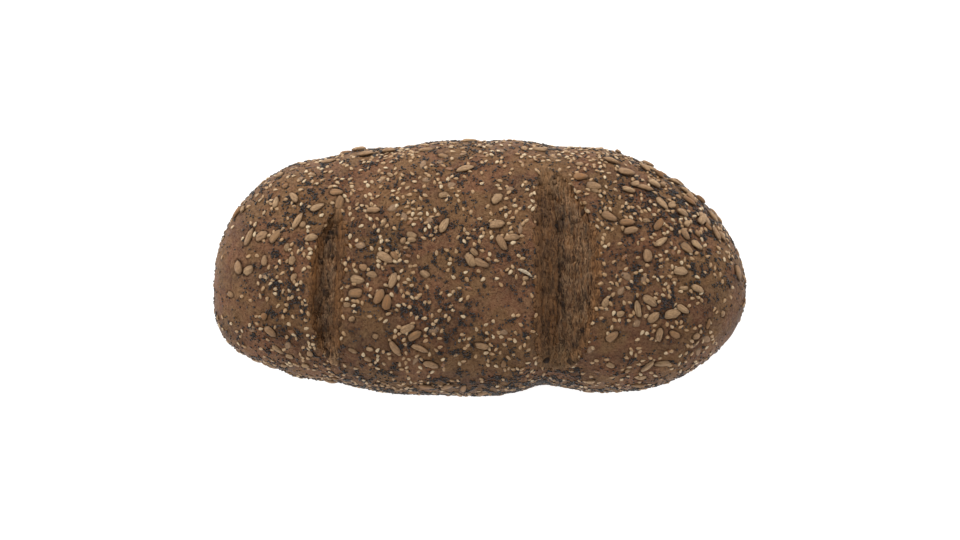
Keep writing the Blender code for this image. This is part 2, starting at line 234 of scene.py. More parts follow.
# Whole kernels that the photo shows, then broken and small ones: X and Y in millimetres, turn
# from +X in degrees
MARKED_KERNELS = [
    (-107.5, 34.5, 95), (-98, 37, -60), (-85.5, 32, 28), (-96, 25, 60), (-89, 16, 12),
    (-121.5, 16.5, 62), (-114.8, 16.8, 22), (-107.5, 17, 48), (-127, 0.5, 112), (-122, -1, 25),
    (-110.5, -33.5, -42), (-106.5, -43, -48), (-75.6, 40, -8), (-74.4, 34, 78), (-127.5, 29, 35),
    (-50, 5.5, -30), (-64.5, -6, -10), (-46, -6.5, 70), (-65.5, -13, 5), (-53.3, -15, 60),
    (-49, -18, 82), (-38.5, -32, 30), (-34.2, -35.7, 35), (-44.8, -42, -65), (-31.5, -42.5, -25),
    (-25.8, -50.8, -30), (-19, 22.5, 68), (-8, 52, 25), (-56, 30.5, -6), (9, 36.5, 50),
    (9, 23, 12), (16.5, 16, 8), (11.5, 13.5, -60), (-5, 4.5, -62), (0.5, 2.5, -20),
    (0.5, -41, -12), (53, 48, 5), (60, 43, -5), (68, 27, -20), (94, 23, 50), (87, 42, -5),
    (88, 54, -20), (69, 56, -10), (96, 34, -60), (102, 45, -40), (108, 40, 10), (110, 35, -10),
    (106, 29, -15), (80, 20, 20), (95.5, 14, 40), (108, 18, -60), (114, 12, -35), (109, 10.5, -40),
    (118, 26, -30), (124, 18, -55), (88, 6.6, 95), (105.3, -1.7, 0), (114.5, -11, -20),
    (135.5, -2, 90), (89.5, -17.5, -35), (83.2, -21.5, 100), (91.4, -25.8, 35), (101.3, -24.3, 8),
    (106.6, -21.5, -30), (69.7, -35.9, 35), (94.5, -35, 82), (102.6, -35, -35), (88.2, -51.7, 55),
    (96, -50.4, 0), (-60, 59.5, 5), (-48, 61, 15), (77, 50, 5), (78, 41, -10), (91.5, 44, -40),
    (111, 36.5, -50), (116.5, 25.5, 40), (77.5, 24, 5),
]
MARKED_BITS = [
    (-93.3, 23, 80), (-101.8, 11, 80), (-113.5, 4, 90), (-99, 4, 70), (-98, -5, 60),
    (-131.5, -14, -15), (-113.5, -25.5, 60), (-100.3, -46.5, 0), (-89.5, -45, 5), (-51, 24, 60),
    (-40.5, 14.5, 60), (-45, 6.5, -50), (-36, 17.5, -20), (-36, 14.8, 0), (-3, 8.5, -45),
    (-19, 38.5, 10), (-61.5, 0.5, -20), (-57, -3.5, -10), (-29, -3, -30), (-67.5, -27, -50),
    (-70, -19.5, 0), (-67, -43.5, -30), (-55, -36, -30), (-58, -42.5, -20), (-59, -48, -40),
    (12.5, -50.5, 90), (24, -5.5, 10), (60.5, 41, 0), (107.3, -10.5, 0), (128, -24, 0),
    (114, -36, 0), (74, -24, 20), (66, -18, 70), (-98.5, 52, 10), (23.5, 63, 80), (104.5, 37.5, 0),
    (101, 33, 30), (87.5, 25, 0), (81.5, 44, 20), (120, 21.5, -40), (102.3, -6.3, 0),
    (127, 16.5, -60),
]

# Thin pale flakes of grain, baked flat into the crust: X, Y, turn
MARKED_FLAKES = [
    (-21, 56, 10), (-52, 46, 80), (-46, 32, 30), (-40, 27, 120), (-27, 25, 60), (-63, 12, 0),
    (-15, 44, 20), (86, -6, 70), (21, 21, 95), (12, -34, 5), (112, -41, 30), (74, -12, 50),
]
MARKED_LINSEEDS = [(101.6, 8.4, 88), (-16, 52, 6), (-37, 24, 40), (62, -12, 80)]
LINSEED_SHARES = (1.0, 0.50, 0.24)                  # length, width, thickness
LINSEED_PROUD = (0.05, 0.15)
LINSEED_COUNT = 36
FLAKE_COUNT = 34
FLAKE_SHARES = (1.0, 0.62, 0.20)                    # length, width, thickness
FLAKE_PROUD = (-0.15, 0.12)

# Open pores and slots in the torn crumb, in millimetres: X, Y, half width and half length, then
# the turn from +Y in degrees
# Each pore is sunk into the crumb and also darkened with painted shade
PITS = [
    (-79.9, 15.1, 0.6, 1.8, -12), (-79.2, 17.9, 0.5, 1.1, -40), (-76.6, 18.9, 0.5, 1.8, -72),
    (-75.0, 6.5, 0.9, 1.4, 0), (-83.2, 3.7, 0.6, 1.1, 10), (-73.3, 0.3, 1.1, 0.9, 0),
    (-80.1, -12.1, 0.4, 2.0, 10), (-80.9, -16.6, 0.4, 2.6, 8), (-76.4, -21.1, 0.6, 0.9, 0),
    (-78.3, -45.3, 0.7, 1.2, -10),
    (30.3, 47.0, 0.7, 0.5, 0), (38.2, 48.7, 0.8, 0.4, 0), (47.6, 44.0, 0.7, 1.3, 45),
    (53.7, 29.5, 0.5, 2.6, -14), (41.3, 25.7, 1.4, 0.5, 0), (39.3, 19.0, 0.35, 4.5, 2),
    (31.0, 16.6, 0.4, 2.2, -15), (41.3, 16.0, 0.9, 0.5, 0), (40.2, 12.1, 0.8, 1.1, 0),
    (48.2, 5.8, 0.45, 1.6, -25), (44.3, -7.3, 0.6, 1.5, -25), (42.6, -19.2, 0.5, 2.0, 0),
    (56.0, -18.1, 1.3, 0.6, 15), (49.5, -22.9, 1.3, 0.6, 10), (54.3, -32.9, 1.2, 0.7, 15),
    (49.9, -40.9, 0.4, 1.6, -15), (48.5, -48.3, 0.45, 2.6, -62), (33.1, -49.0, 0.9, 0.7, 0),
]

# Loose fibres along the cuts, and one pale husk beside the right cut
FIBRE_POINTS = 8
FIBRE_LENGTH = (3 * MM, 10 * MM)
FIBRE_RADIUS = (0.08 * MM, 0.17 * MM)
FIBRE_TURN = 0.30                 # how far fibres stray from the way of the cut, in radians
FIBRE_SWAY, FIBRE_WAVES = (0.1 * MM, 0.7 * MM), (3.0, 9.0)
FIBRE_OVERHANG = (0.8 * MM, 3.5 * MM)               # past the lips at the sides and at the ends
FIBRE_LIFT = 0.06 * MM
HUSK_PLACE = (23.2 * MM, -2.6 * MM)
HUSK_SIZE = (7.4 * MM, 2.0 * MM)
HUSK_BEND = 0.6 * MM
HUSK_HOLLOW = 0.35 * MM
HUSK_SLANT = 0.25                 # each end lies off in Y by this share of its length
HUSK_LIFT, HUSK_THICKNESS = 0.5 * MM, 0.3 * MM

# Oval patches seen from above, in millimetres: X, Y, half sizes
BARE_PATCHES = [(-137, -8, 15, 34), (9, -18, 13, 15), (74, -41, 13, 6), (134, -38, 15, 22),
                (-56, 18, 12, 9), (-58, -36, 12, 14), (-15, 5, 16, 10)]
CROWDED_PATCHES = [(100, 25, 34, 34), (-50, -10, 22, 24), (-105, 20, 26, 26), (95, -20, 34, 26)]
PILED_PATCHES = [(88, 50, 34, 12), (116, 28, 14, 20), (-128, 29, 5, 8), (-55, 62, 14, 5),
                 (24, 64, 4, 4)]

# Where the fine seeds stuck thickest: X, Y and half sizes in millimetres, added share
POPPY_PATCHES = [
    (-88, 38, 9, 6, 0.7), (-100, 22, 18, 12, 0.5), (-104, -7, 15, 12, 0.7),
    (-109, -30, 18, 10, 0.2), (-88, -20, 8, 14, 0.4), (-63, 9, 14, 9, 0.4),
    (-33, -17, 13, 14, 0.6), (-14, 46, 22, 9, 0.3), (-19, 19, 26, 7, 0.4),
    (106, 30, 24, 16, 0.1), (100, 46, 26, 10, 0.1), (-96, -32, 10, 8, 0.2),
    (-56, -57, 28, 8, 0.4), (92, 33, 20, 12, 0.6), (114, 22, 13, 9, 0.9), (82, 2, 20, 14, 0.3),
    (114, -2, 9, 7, 0.5), (99, -16, 8, 6, 0.4), (70, -20, 9, 10, 0.4), (64, 32, 8, 9, 0.2),
    (5, 5, 22, 8, 0.4), (24, 3, 8, 8, 0.3), (-14, -32, 14, 16, 0.5), (25, -60, 34, 8, 0.6),
    (-51, 60, 9, 6, 0.2),
]
SESAME_PATCHES = [
    (102, 30, 30, 24, 0.7), (-104, -8, 14, 9, 0.8), (-20, 28, 50, 16, 0.2), (-35, -15, 18, 24, 0.2),
    (88, -14, 24, 16, 0.3), (-51, 33, 12, 9, 0.5), (-51, 5, 12, 8, 0.4), (8, -38, 14, 8, 0.5),
    (-4, 6, 18, 8, 0.5), (-91, -35, 10, 8, 0.4), (92, 46, 30, 12, 0.6), (-51, -42, 16, 16, 0.4),
    (48, 58, 24, 10, 0.4), (-51, 60, 12, 8, 0.4),
]
BARER_PATCHES = [(-130, -5, 14, 36), (9, -16, 12, 12), (72, -38, 15, 8), (132, -38, 15, 24),
                 (-56, -33, 12, 9)]


# ---------------------------------------------------------------------------------------------
# Sizes and colours that a user would change
# ---------------------------------------------------------------------------------------------

def from_hex(code):
    """The linear red, green and blue of an sRGB hex colour, and an alpha of 1."""
    channels = [int(code[i:i + 2], 16) / 255 for i in (1, 3, 5)]
    linear = (c / 12.92 if c <= 0.04045 else ((c + 0.055) / 1.055) ** 2.4 for c in channels)
    return (*linear, 1.0)


def length_prop(name, description, default):
    return FloatProperty(
        name=name, description=description, default=default, min=0.0, unit="LENGTH", precision=5
    )


def colour_prop(name, description, code):
    return FloatVectorProperty(
        name=name, description=description, default=from_hex(code), size=4, subtype="COLOR",
        min=0.0, max=1.0,
    )


def density_prop(name, kind, default):
    description = f"{kind} a square centimetre, where they are thickest"
    return FloatProperty(name=name, description=description, default=default, min=0.0)


def count_prop(name, description, default):
    return IntProperty(name=name, description=description, default=default, min=0)


class LoafCrustSettings(bpy.types.PropertyGroup):
    """Relief and colours of the crust and of the torn crumb in its cuts."""
    wrinkle_height: length_prop("Wrinkle height", "Height of the crust's soft wrinkles", 0.55 * MM)
    wrinkle_size: length_prop("Wrinkle size", "Width of the crust's soft wrinkles", 9.0 * MM)
    grain_height: length_prop("Grain height", "Height of the crust's fine grain", 0.16 * MM)
    lump_height: length_prop("Lump height", "Height of the lumps over covered seeds", 0.6 * MM)
    lump_spacing: length_prop("Lump spacing", "Distance between those lumps", 5.0 * MM)
    strand_height: length_prop("Strand height", "Height of the torn strands in a cut", 0.8 * MM)
    strand_width: length_prop("Strand width", "Width of a torn strand", 0.8 * MM)
    strand_length: length_prop("Strand length", "Length of a torn strand", 10.0 * MM)
    pit_depth: length_prop("Pit depth", "Depth of the open pores in a cut", 1.4 * MM)
    dark: colour_prop("Dark crust", "Crust where it baked darkest", "#583b28")
    brown: colour_prop("Brown crust", "Most of the crust", "#795239")
    # Also painted sheen on the upright shoulders of the crust
    light: colour_prop("Light crust", "Dusty bare crust on the shoulders", "#997956")
    ruddy: colour_prop("Ruddy crust", "Redder patches of the crust", "#7f4e34")
    ochre: colour_prop("Ochre crust", "More golden patches of the crust", "#785836")
    golden: colour_prop("Golden crumb", "Walls of a cut", "#6e4620")
    crumb: colour_prop("Crumb", "Raised strands of the torn crumb", "#8a6240")
    crumb_shade: colour_prop("Shaded crumb", "Low strands of the torn crumb", "#452b1a")
    crumb_grey: colour_prop("Grey crumb", "Dusty patches of the torn crumb", "#6c5440")
    # Also the colour of painted shade: in the crumb's creases, pores and hollows, round the
    # kernels, along a lip and under the poppy clusters
    crumb_dark: colour_prop("Dark crumb", "Creases and pores of the crumb", "#2a1c12")
    thread: colour_prop("Crumb threads", "Pale threads of the torn crumb", "#a98662")


class LoafSeedSettings(bpy.types.PropertyGroup):
    """Sizes, numbers and colours of the seeds."""
    kernel_count: count_prop("Kernels", "Sunflower kernels on the crust", KERNEL_COUNT)
    sesame_density: density_prop("Sesame", "Sesame seeds", 13.5)
    poppy_density: density_prop("Poppy", "Poppy seeds", 330.0)
    crumb_flake_density: density_prop("Crumbs", "Loose crumbs in the cuts", 22.0)
    fibre_count: count_prop("Fibres", "Loose crumb fibres in the two cuts", 2600)
    sesame_length: length_prop("Sesame length", "Length of a sesame seed", 2.85 * MM)
    poppy_length: length_prop("Poppy length", "Length of a poppy seed", 1.24 * MM)
    linseed_length: length_prop("Linseed length", "Length of a linseed", 4.6 * MM)
    flake_length: length_prop("Flake length", "Length of a grain flake", 5.6 * MM)
    crumb_flake_length: length_prop("Crumb length", "Length of a loose crumb", 1.3 * MM)
    kernel: colour_prop("Kernel", "Toasted sunflower kernel", "#9f7b58")
    kernel_grey: colour_prop("Grey kernel", "Paler side of the kernels", "#b6956f")
    kernel_orange: colour_prop("Orange kernel", "Kernels that toasted most", "#8e6238")
    sesame: colour_prop("Sesame", "Pale sesame", "#dec59f")
    sesame_toasted: colour_prop("Toasted sesame", "Sesame that browned", "#b48d62")
    poppy: colour_prop("Poppy seed", "Blue-black poppy seed", "#1c1511")
    linseed: colour_prop("Linseed", "Glossy orange-brown linseed", "#875a33")
    flake: colour_prop("Flake", "Pale grain flake", "#94765a")


# ---------------------------------------------------------------------------------------------
# Form of the loaf
# ---------------------------------------------------------------------------------------------

def by_end(table, x):
    """Pick the value of the end that each X belongs to."""
    return np.where(x < 0, table[LEFT], table[RIGHT])


def end_fall(x, table):
    """1 in the middle of the loaf and 0 at its tips, along a rounded curve."""
    reach = np.minimum(np.abs(x) / HALF_LENGTH, 1.0)
    near_middle = by_end({end: pair[0] for end, pair in table.items()}, x)
    at_tip = by_end({end: pair[1] for end, pair in table.items()}, x)
    roundness = near_middle + (at_tip - near_middle) * reach ** 2.5
    return (1.0 - reach ** roundness) ** (1.0 / roundness)


def pinch(x, pinches):
    """Share of the half width that is lost beside the cuts."""
    lost = np.zeros_like(x)
    for place, share, spread_left, spread_right in pinches:
        spread = np.where(x < place, spread_left, spread_right)
        lost += share * np.exp(-((x - place) / spread) ** 2)
    return lost


def superellipse(angle, roundness):
    """Across and up shares of a rounded section at an angle from the back (+Y)."""
    across, up = np.cos(angle), np.sin(angle)
    power = 2.0 / roundness
    return np.sign(across) * np.abs(across) ** power, np.sign(up) * np.abs(up) ** power


def crust_frame(x, angle):
    """Points of the uncut crust and the way inwards at each of them."""
    plan = end_fall(x, PLAN_ROUNDNESS)
    profile = end_fall(x, PROFILE_ROUNDNESS)
    across, up = superellipse(angle, SECTION_ROUNDNESS)
    lost = np.where(across > 0, pinch(x, BACK_PINCHES), pinch(x, FRONT_PINCHES))
    half_width = HALF_WIDTH * plan * (1.0 - lost)
    reach = np.where(up > 0, HEIGHT - WAIST_HEIGHT, TUCK_DEPTH) * profile

    bow = by_end(TIP_BOW, x) * (np.abs(x) / HALF_LENGTH) ** by_end(TIP_BOW_POWER, x)
    ridge = RIDGE_SHIFT * np.maximum(up, 0.0) ** 2 * plan
    y = across * half_width - bow - ridge
    z = WAIST_HEIGHT + up * reach

    power = SECTION_ROUNDNESS - 1.0
    out_y = np.sign(across) * np.abs(across) ** power / np.maximum(half_width, MM)
    out_z = np.sign(up) * np.abs(up) ** power / np.maximum(reach, MM)
    length = np.sqrt(out_y ** 2 + out_z ** 2) + 1e-9
    out_y, out_z = out_y / length, out_z / length

    swell = np.zeros_like(x)
    for height, along, around, phase in SWELLS:
        swell += height * np.sin(along * math.pi * x / HALF_LENGTH + around * angle + phase)
    swell *= plan
    return y + out_y * swell, z + out_z * swell, -out_y, -out_z


def ragged(y, phase):
    """How far a torn lip wanders at each Y."""
    wander = np.zeros_like(y)
    for wave_length, share, shift in LIP_WAVES:
        wander += share * np.sin(2 * math.pi * y / wave_length + shift + phase * wave_length / MM)
    return LIP_RAGGEDNESS * wander


def cut_place(cut, x, y):
    """Where a point lies in a cut: across from lip to lip, and along from -1 to 1."""
    along = (y - cut["middle"]) / cut["half_length"]
    inside = np.minimum(np.abs(along), 1.0)
    width = cut["width"] * (1.0 - inside ** cut["roundness"]) ** (1.0 / cut["roundness"])
    straight = cut["straight_lip"] + cut["lean"] * (y - cut["middle"])
    low_lip = straight if cut["bulge"] == RIGHT else straight - width
    return (x - low_lip) / np.maximum(width, MM), along, low_lip, low_lip + width


def lip_lines(cut, y):
    """X of the two torn lips of a cut at each Y. Both bow in at its ends, as an arch does."""
    _, along, low_lip, high_lip = cut_place(cut, np.zeros_like(y), y)
    calm = smooth_step(1.0, 0.85, np.abs(along))
    inside = np.minimum(np.abs(along), 1.0)
    arch = ARCH_SHARE * cut["width"] * (1.0 - (1.0 - inside ** ARCH_POWER) ** (1.0 / ARCH_POWER))
    drawn = cut["drawn_in"][0] * smooth_step(0.2, 0.9, -along)
    drawn += cut["drawn_in"][1] * smooth_step(0.2, 0.9, along)
    if cut["bulge"] == RIGHT:
        low_lip = low_lip + arch
        high_lip = np.maximum(high_lip - drawn, low_lip)
    else:
        high_lip = high_lip - arch
        low_lip = np.minimum(low_lip + drawn, high_lip)
    return low_lip + ragged(y, 0.7) * calm, high_lip + ragged(y, 1.9) * calm


def lip_reach(cut, x, y):
    """How far inside the torn lips of a cut each point lies; less than nothing outside."""
    low_lip, high_lip = lip_lines(cut, y)
    beyond = y - cut["middle"]
    off_middle = (2 * x - low_lip - high_lip) / np.maximum(high_lip - low_lip, 4 * MM)
    gap = np.where(beyond > 0, cut["end_gaps"][1], cut["end_gaps"][0])
    gap += np.where(beyond > 0, cut["end_rounding"][1], cut["end_rounding"][0]) * off_middle ** 2
    before_end = cut["half_length"] - np.abs(beyond) - gap
    return np.minimum(np.minimum(x - low_lip, high_lip - x), before_end)


def crumb_depth(cut, x, y):
    """How far the torn crumb of a cut lies below the uncut crust."""
    across, along, low_lip, _ = cut_place(cut, x, y)
    fade = smooth_step(0.0, CUT_END_FADE, 1.0 - np.abs(along))
    floor = np.interp(across, cut["across"], cut["depth"])
    strands = STRAND_DEPTH * np.sin(2 * math.pi * (x - low_lip) / STRAND_SPACING)
    wall = np.clip(floor / (3 * MM), 0.0, 1.0)
    outside = smooth_step(0.0, 1.2 * MM, -lip_reach(cut, x, y))
    return LIP_STEP + fade * (floor + strands * wall) + outside * CRUMB_TUCK


def crust_depth(x, y):
    """How far the crust drops: a channel below the crumb of each cut, and swollen lips."""
    depth = np.zeros_like(x)
    for cut in CUTS:
        inside = lip_reach(cut, x, y)
        channel = smooth_step(0.0, LIP_EDGE, inside) * (crumb_depth(cut, x, y) + CRUMB_GAP)
        along = cut_place(cut, x, y)[1]
        fade = smooth_step(0.0, CUT_END_FADE, 1.0 - np.abs(along))
        lip = LIP_HEIGHT * np.exp(-((-inside - LIP_SPREAD / 2) / LIP_SPREAD) ** 2)
        lip *= np.clip(-inside / (0.8 * MM), 0.0, 1.0) * fade
        depth += channel - lip
    return depth


def in_a_cut(x, y, margin):
    """Whether a seed's middle would lie in a cut or nearer to it than the margin."""
    for cut in CUTS:
        _, along, low_lip, high_lip = cut_place(cut, np.float64(x), np.float64(y))
        if abs(along) < 1.0 and low_lip - margin < x < high_lip + margin:
            return True
    return False


def in_a_patch(x, y, patches):
    """Whether a point seen from above lies in one of the oval patches."""
    return any(
        ((x / MM - px) / rx) ** 2 + ((y / MM - py) / ry) ** 2 < 1.0 for px, py, rx, ry in patches
    )


def resting_lips(cut):
    """X of a cut's smooth lips at its middle, where it is widest."""
    lips = [cut["straight_lip"], cut["straight_lip"] + cut["bulge"] * cut["width"]]
    return min(lips), max(lips)


def follow_lips(x, y):
    """X of ring points once the rings beside and in a cut run along its lips."""
    moved = x.copy()
    for cut in CUTS:
        rest_low, rest_high = resting_lips(cut)
        low_lip, high_lip = lip_lines(cut, y)
        middle = (low_lip + high_lip) / 2
        half = np.maximum((high_lip - low_lip) / 2, NARROWEST * cut["width"] / 2)
        share = np.clip((x - rest_low) / (rest_high - rest_low), 0.0, 1.0)
        rest = rest_low + share * (rest_high - rest_low)
        wanted = middle + (2 * share - 1) * half
        beyond = np.maximum(np.maximum(rest_low - x, x - rest_high), 0.0)
        moved += (wanted - rest) * np.clip(1.0 - beyond / FOLLOW_SPREAD, 0.0, 1.0)
    return moved


def ring_stations():
    """X of every ring at rest: even steps along the outline, and set rings beside each lip."""
    fixed, spans = [], []
    for cut in CUTS:
        low, high = resting_lips(cut)
        offsets = [offset * MM for offset in LIP_RINGS]
        fixed += [low + offset for offset in offsets] + [high - offset for offset in offsets]
        floor = np.arange(low + offsets[-1], high - offsets[-1], CHANNEL_STEP)[1:]
        fixed += floor.tolist()
        spans.append((low + offsets[0] - CRUST_STEP / 2, high - offsets[0] + CRUST_STEP / 2))

    def walk(direction):
        x, stations = 0.0, []
        while abs(x) < HALF_LENGTH - TIP_GAP:
            ahead = np.array([x, x + direction * TIP_GAP / 4])
            fall = np.diff(end_fall(ahead, PLAN_ROUNDNESS))[0] * HALF_WIDTH / (TIP_GAP / 4)
            x += direction * CRUST_STEP / math.sqrt(1.0 + fall ** 2)
            stations.append(x)
        return [s for s in stations if abs(s) < HALF_LENGTH - TIP_GAP / 4]

    even = walk(LEFT) + [0.0] + walk(RIGHT)
    return sorted(fixed + [x for x in even if not any(low < x < high for low, high in spans)])


def segment_angles():
    """Angles round a ring from the back (+Y) over the top, finer above than below."""
    upper_turn = math.pi - 2 * LOWER_EDGE_ANGLE
    lower_turn = 2 * math.pi - upper_turn
    upper = [LOWER_EDGE_ANGLE + upper_turn * i / UPPER_SEGMENTS for i in range(UPPER_SEGMENTS)]
    start = LOWER_EDGE_ANGLE + upper_turn
    return upper + [start + lower_turn * i / LOWER_SEGMENTS for i in range(LOWER_SEGMENTS)]


def soft_patches(x, y, patches):
    """Added share at each point, fading out towards the edge of each oval patch."""
    share = np.zeros_like(x)
    for px, py, rx, ry, weight in patches:
        reach = ((x / MM - px) / rx) ** 2 + ((y / MM - py) / ry) ** 2
        share += weight * np.exp(-reach)
    return share


def smooth_step(low, high, value):
    """0 up to low and 1 from high on, with an eased way between; low may be the larger one."""
    t = np.clip((value - low) / (high - low), 0.0, 1.0)
    return t * t * (3.0 - 2.0 * t)


def near_ends(cut, x, y, values):
    """The first value along the sides of a cut, easing into the second at its ends."""
    past = smooth_step(0.75, 0.95, np.abs(cut_place(cut, x, y)[1]))
    return values[0] + past * (values[1] - values[0])


def torn_share(x, y):
    """Share of torn crumb: 1 inside the lips of a cut and 0 on the crust."""
    torn = np.zeros_like(x)
    for cut in CUTS:
        spread = near_ends(cut, x, y, TORN_SPREAD)
        torn = np.maximum(torn, smooth_step(-1.0, 0.2, lip_reach(cut, x, y) / spread))
    return torn


# ---------------------------------------------------------------------------------------------
# Helpers for node trees and meshes
# ---------------------------------------------------------------------------------------------

# Short words for the nodes used most: Blender's node, where its values go in order (inputs, or
# settings in small letters), the output that is taken, and the values that are always the same
NODE_WORDS = {
    **{operation.lower(): ("ShaderNodeMath", (0, 1), 0, {"operation": operation}) for operation in
       ("ADD", "SUBTRACT", "MULTIPLY", "DIVIDE", "MINIMUM", "MAXIMUM", "ABSOLUTE")},
    "scale": ("ShaderNodeVectorMath", (0, "Scale"), 0, {"operation": "SCALE"}),
    "shift": ("ShaderNodeVectorMath", (0, 1), 0, {"operation": "ADD"}),
    "stretch": ("ShaderNodeVectorMath", (0, 1), 0, {"operation": "MULTIPLY"}),
    "range": ("ShaderNodeMapRange", (0, 1, 2), 0, {}),
    "ease": ("ShaderNodeMapRange", (0, 1, 2), 0, {"interpolation_type": "SMOOTHSTEP"}),
    "noise": ("ShaderNodeTexNoise", (
        "Vector", "Scale", "Detail", "Roughness", "Distortion"), 0, {}),
    "clusters": ("ShaderNodeTexNoise", ("Vector", "W", "Scale"), 0, {
        "noise_dimensions": "4D", "Detail": CLUSTER_DETAIL, "Roughness": CLUSTER_ROUGHNESS,
    }),
    "cells": ("ShaderNodeTexVoronoi", ("Vector", "Scale"), "Distance", {}),
    "mix": ("ShaderNodeMix", (0, 6, 7, "blend_type"), 2, {"data_type": "RGBA"}),
    "object place": ("ShaderNodeTexCoord", (), "Object", {}),
    "share": ("ShaderNodeAttribute", ("attribute_name",), "Fac", {}),
    "attribute": ("GeometryNodeInputNamedAttribute", ("Name",), 0, {"data_type": "FLOAT"}),
    "vector": ("GeometryNodeInputNamedAttribute", ("Name",), 0, {"data_type": "FLOAT_VECTOR"}),
    "store": ("GeometryNodeStoreNamedAttribute", ("Geometry", "Name", "Value", "domain"), 0, {
        "data_type": "FLOAT",
    }),
    "chance": ("FunctionNodeRandomValue", (2, 3, "Seed"), 1, {"data_type": "FLOAT"}),
    "whole chance": ("FunctionNodeRandomValue", (4, 5, "Seed"), 2, {"data_type": "INT"}),
    "vector chance": ("FunctionNodeRandomValue", (0, 1, "Seed"), 0, {
        "data_type": "FLOAT_VECTOR",
    }),
}


def fill_inputs(node, values):
    """Link or set a node's inputs, by name or by number."""
    for key, value in values.items():
        if isinstance(value, bpy.types.NodeSocket):
            node.id_data.links.new(value, node.inputs[key])
        else:
            node.inputs[key].default_value = value


def add_node(tree, kind, *values, out=None):
    """Add a node by a short word or Blender's name, and take one output or "all" of them.

    Its values come in order, or in one dict by name. Names in small letters are settings.
    """
    kind, keys, usual, fixed = NODE_WORDS.get(kind, (kind, range(len(values)), 0, {}))
    node = tree.nodes.new(kind)
    by_key = values[0] if values and isinstance(values[0], dict) else dict(zip(keys, values))
    values = {**fixed, **by_key}
    for key in [key for key in values if isinstance(key, str) and key.islower()]:
        setattr(node, key, values.pop(key))
    fill_inputs(node, values)
    return node.outputs if out == "all" else node.outputs[usual if out is None else out]


def new_tree(name, inputs):
    """A geometry tree with named inputs (name, socket type, default), and a way to add to it."""
    tree = bpy.data.node_groups.new(name, "GeometryNodeTree")
    for label, kind, default in (("Geometry", "Geometry", None), *inputs):
        socket = tree.interface.new_socket(label, in_out="INPUT", socket_type="NodeSocket" + kind)
        if default is not None:
            socket.default_value = default
    tree.interface.new_socket("Geometry", in_out="OUTPUT", socket_type="NodeSocketGeometry")
    node = partial(add_node, tree)
    return tree, node, node("NodeGroupInput", out="all")


def end_tree(node, given, geometry):
    """End a tree: make its instances real and give them the material that it is handed."""
    solid = node("GeometryNodeRealizeInstances", geometry)
    painted = node("GeometryNodeSetMaterial", {"Geometry": solid, "Material": given["Material"]})
    node("NodeGroupOutput", painted, out="all")


def run_tree(name, carrier, tree, values):
    """Run a geometry tree on a carrier mesh, and keep the result as a plain mesh piece."""
    holder = in_scene("carrier", carrier)
    modifier = holder.modifiers.new(tree.name, "NODES")
    modifier.node_group = tree
    for item in tree.interface.items_tree:
        if item.in_out == "INPUT" and item.name in values:
            modifier[item.identifier] = values[item.name]
    depsgraph = bpy.context.evaluated_depsgraph_get()
    mesh = bpy.data.meshes.new_from_object(
        holder.evaluated_get(depsgraph), preserve_all_data_layers=True, depsgraph=depsgraph
    )
    bpy.data.objects.remove(holder)
    mesh.name = name
    piece = in_scene(name, mesh)
    finish_piece(piece)
    return piece


def in_scene(name, data):
    """A new object of this mesh, lamp or camera in the scene."""
    made = bpy.data.objects.new(name, data)
    bpy.context.scene.collection.objects.link(made)
    return made


def new_mesh(name, points, edges=(), faces=(), shares=None):
    """A mesh that carries points into a tree, with one number a point under each name."""
    mesh = bpy.data.meshes.new(name)
    mesh.from_pydata(points, edges, faces)
    set_shares(mesh, shares or {})
    return mesh


def mesh_of(name, bm):
    """Keep a finished bmesh as a mesh."""
    mesh = bpy.data.meshes.new(name)
    bm.to_mesh(mesh)
    bm.free()
    return mesh


def set_shares(mesh, shares):
    """Store one number a point under each name."""
    for name, values in shares.items():
        attribute = mesh.attributes.get(name) or mesh.attributes.new(name, "FLOAT", "POINT")
        attribute.data.foreach_set("value", np.asarray(values, np.float32))


def get_shares(mesh, name):
    """Read one number a point."""
    values = np.empty(len(mesh.vertices), np.float32)
    mesh.attributes[name].data.foreach_get("value", values)
    return values


def vertex_array(mesh):
    """The points of a mesh, one a row."""
    points = np.empty(len(mesh.vertices) * 3, np.float32)
    mesh.vertices.foreach_get("co", points)
    return points.reshape(-1, 3)


def thicken(piece, thickness):
    """Give a sheet its thickness, below its face."""
    wall = piece.modifiers.new("thickness", "SOLIDIFY")
    wall.thickness, wall.offset = thickness, -1.0


def finish_piece(piece):
    """Smooth shading and a place on the loaf's only body."""
    piece.data.shade_smooth()
    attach(piece, "root")


def made_piece(name):
    """A piece that an earlier operator made."""
    piece = bpy.data.objects.get(name)
    if piece is None:
        raise RuntimeError(f"{name} has to be made first")
    return piece


def raise_surface(node, geometry, rise):
    """Move a surface along its own normals."""
    offset = node("scale", node("GeometryNodeInputNormal"), rise)
    return node("GeometryNodeSetPosition", {"Geometry": geometry, "Offset": offset})


def warped(node, place, size, amount):
    """A place moved about by noise of one size, so that a pattern on it wanders."""
    drift = node("noise", place, 1 / size, 2.0, out="Color")
    return node("shift", place, node("scale", drift, amount))


def new_material(name):
    """A material with one Principled BSDF: the material, a way to add nodes, and the shader."""
    material = bpy.data.materials.new(name)
    material.use_nodes = True
    tree = material.node_tree
    return material, partial(add_node, tree), tree.nodes["Principled BSDF"]


def lay_over(node, colour, layers):
    """Lay colours over one: each has a mask, a share of it, its colour and, if any, its blend."""
    for mask, share, layer, *blend in layers:
        colour = node("mix", node("multiply", mask, share), colour, layer, *blend)
    return colour


def finish_coat(node, shader, colour, relief, depth, roughness, specular, strength=1.0):
    """Give a shader its colour, its fine relief and its gloss."""
    bump = node("ShaderNodeBump", {"Height": relief, "Strength": strength, "Distance": depth})
    fill_inputs(shader, {
        "Base Color": colour, "Normal": bump, "Roughness": roughness,
        "Specular IOR Level": specular,
    })


# ---------------------------------------------------------------------------------------------
# Crust
# ---------------------------------------------------------------------------------------------

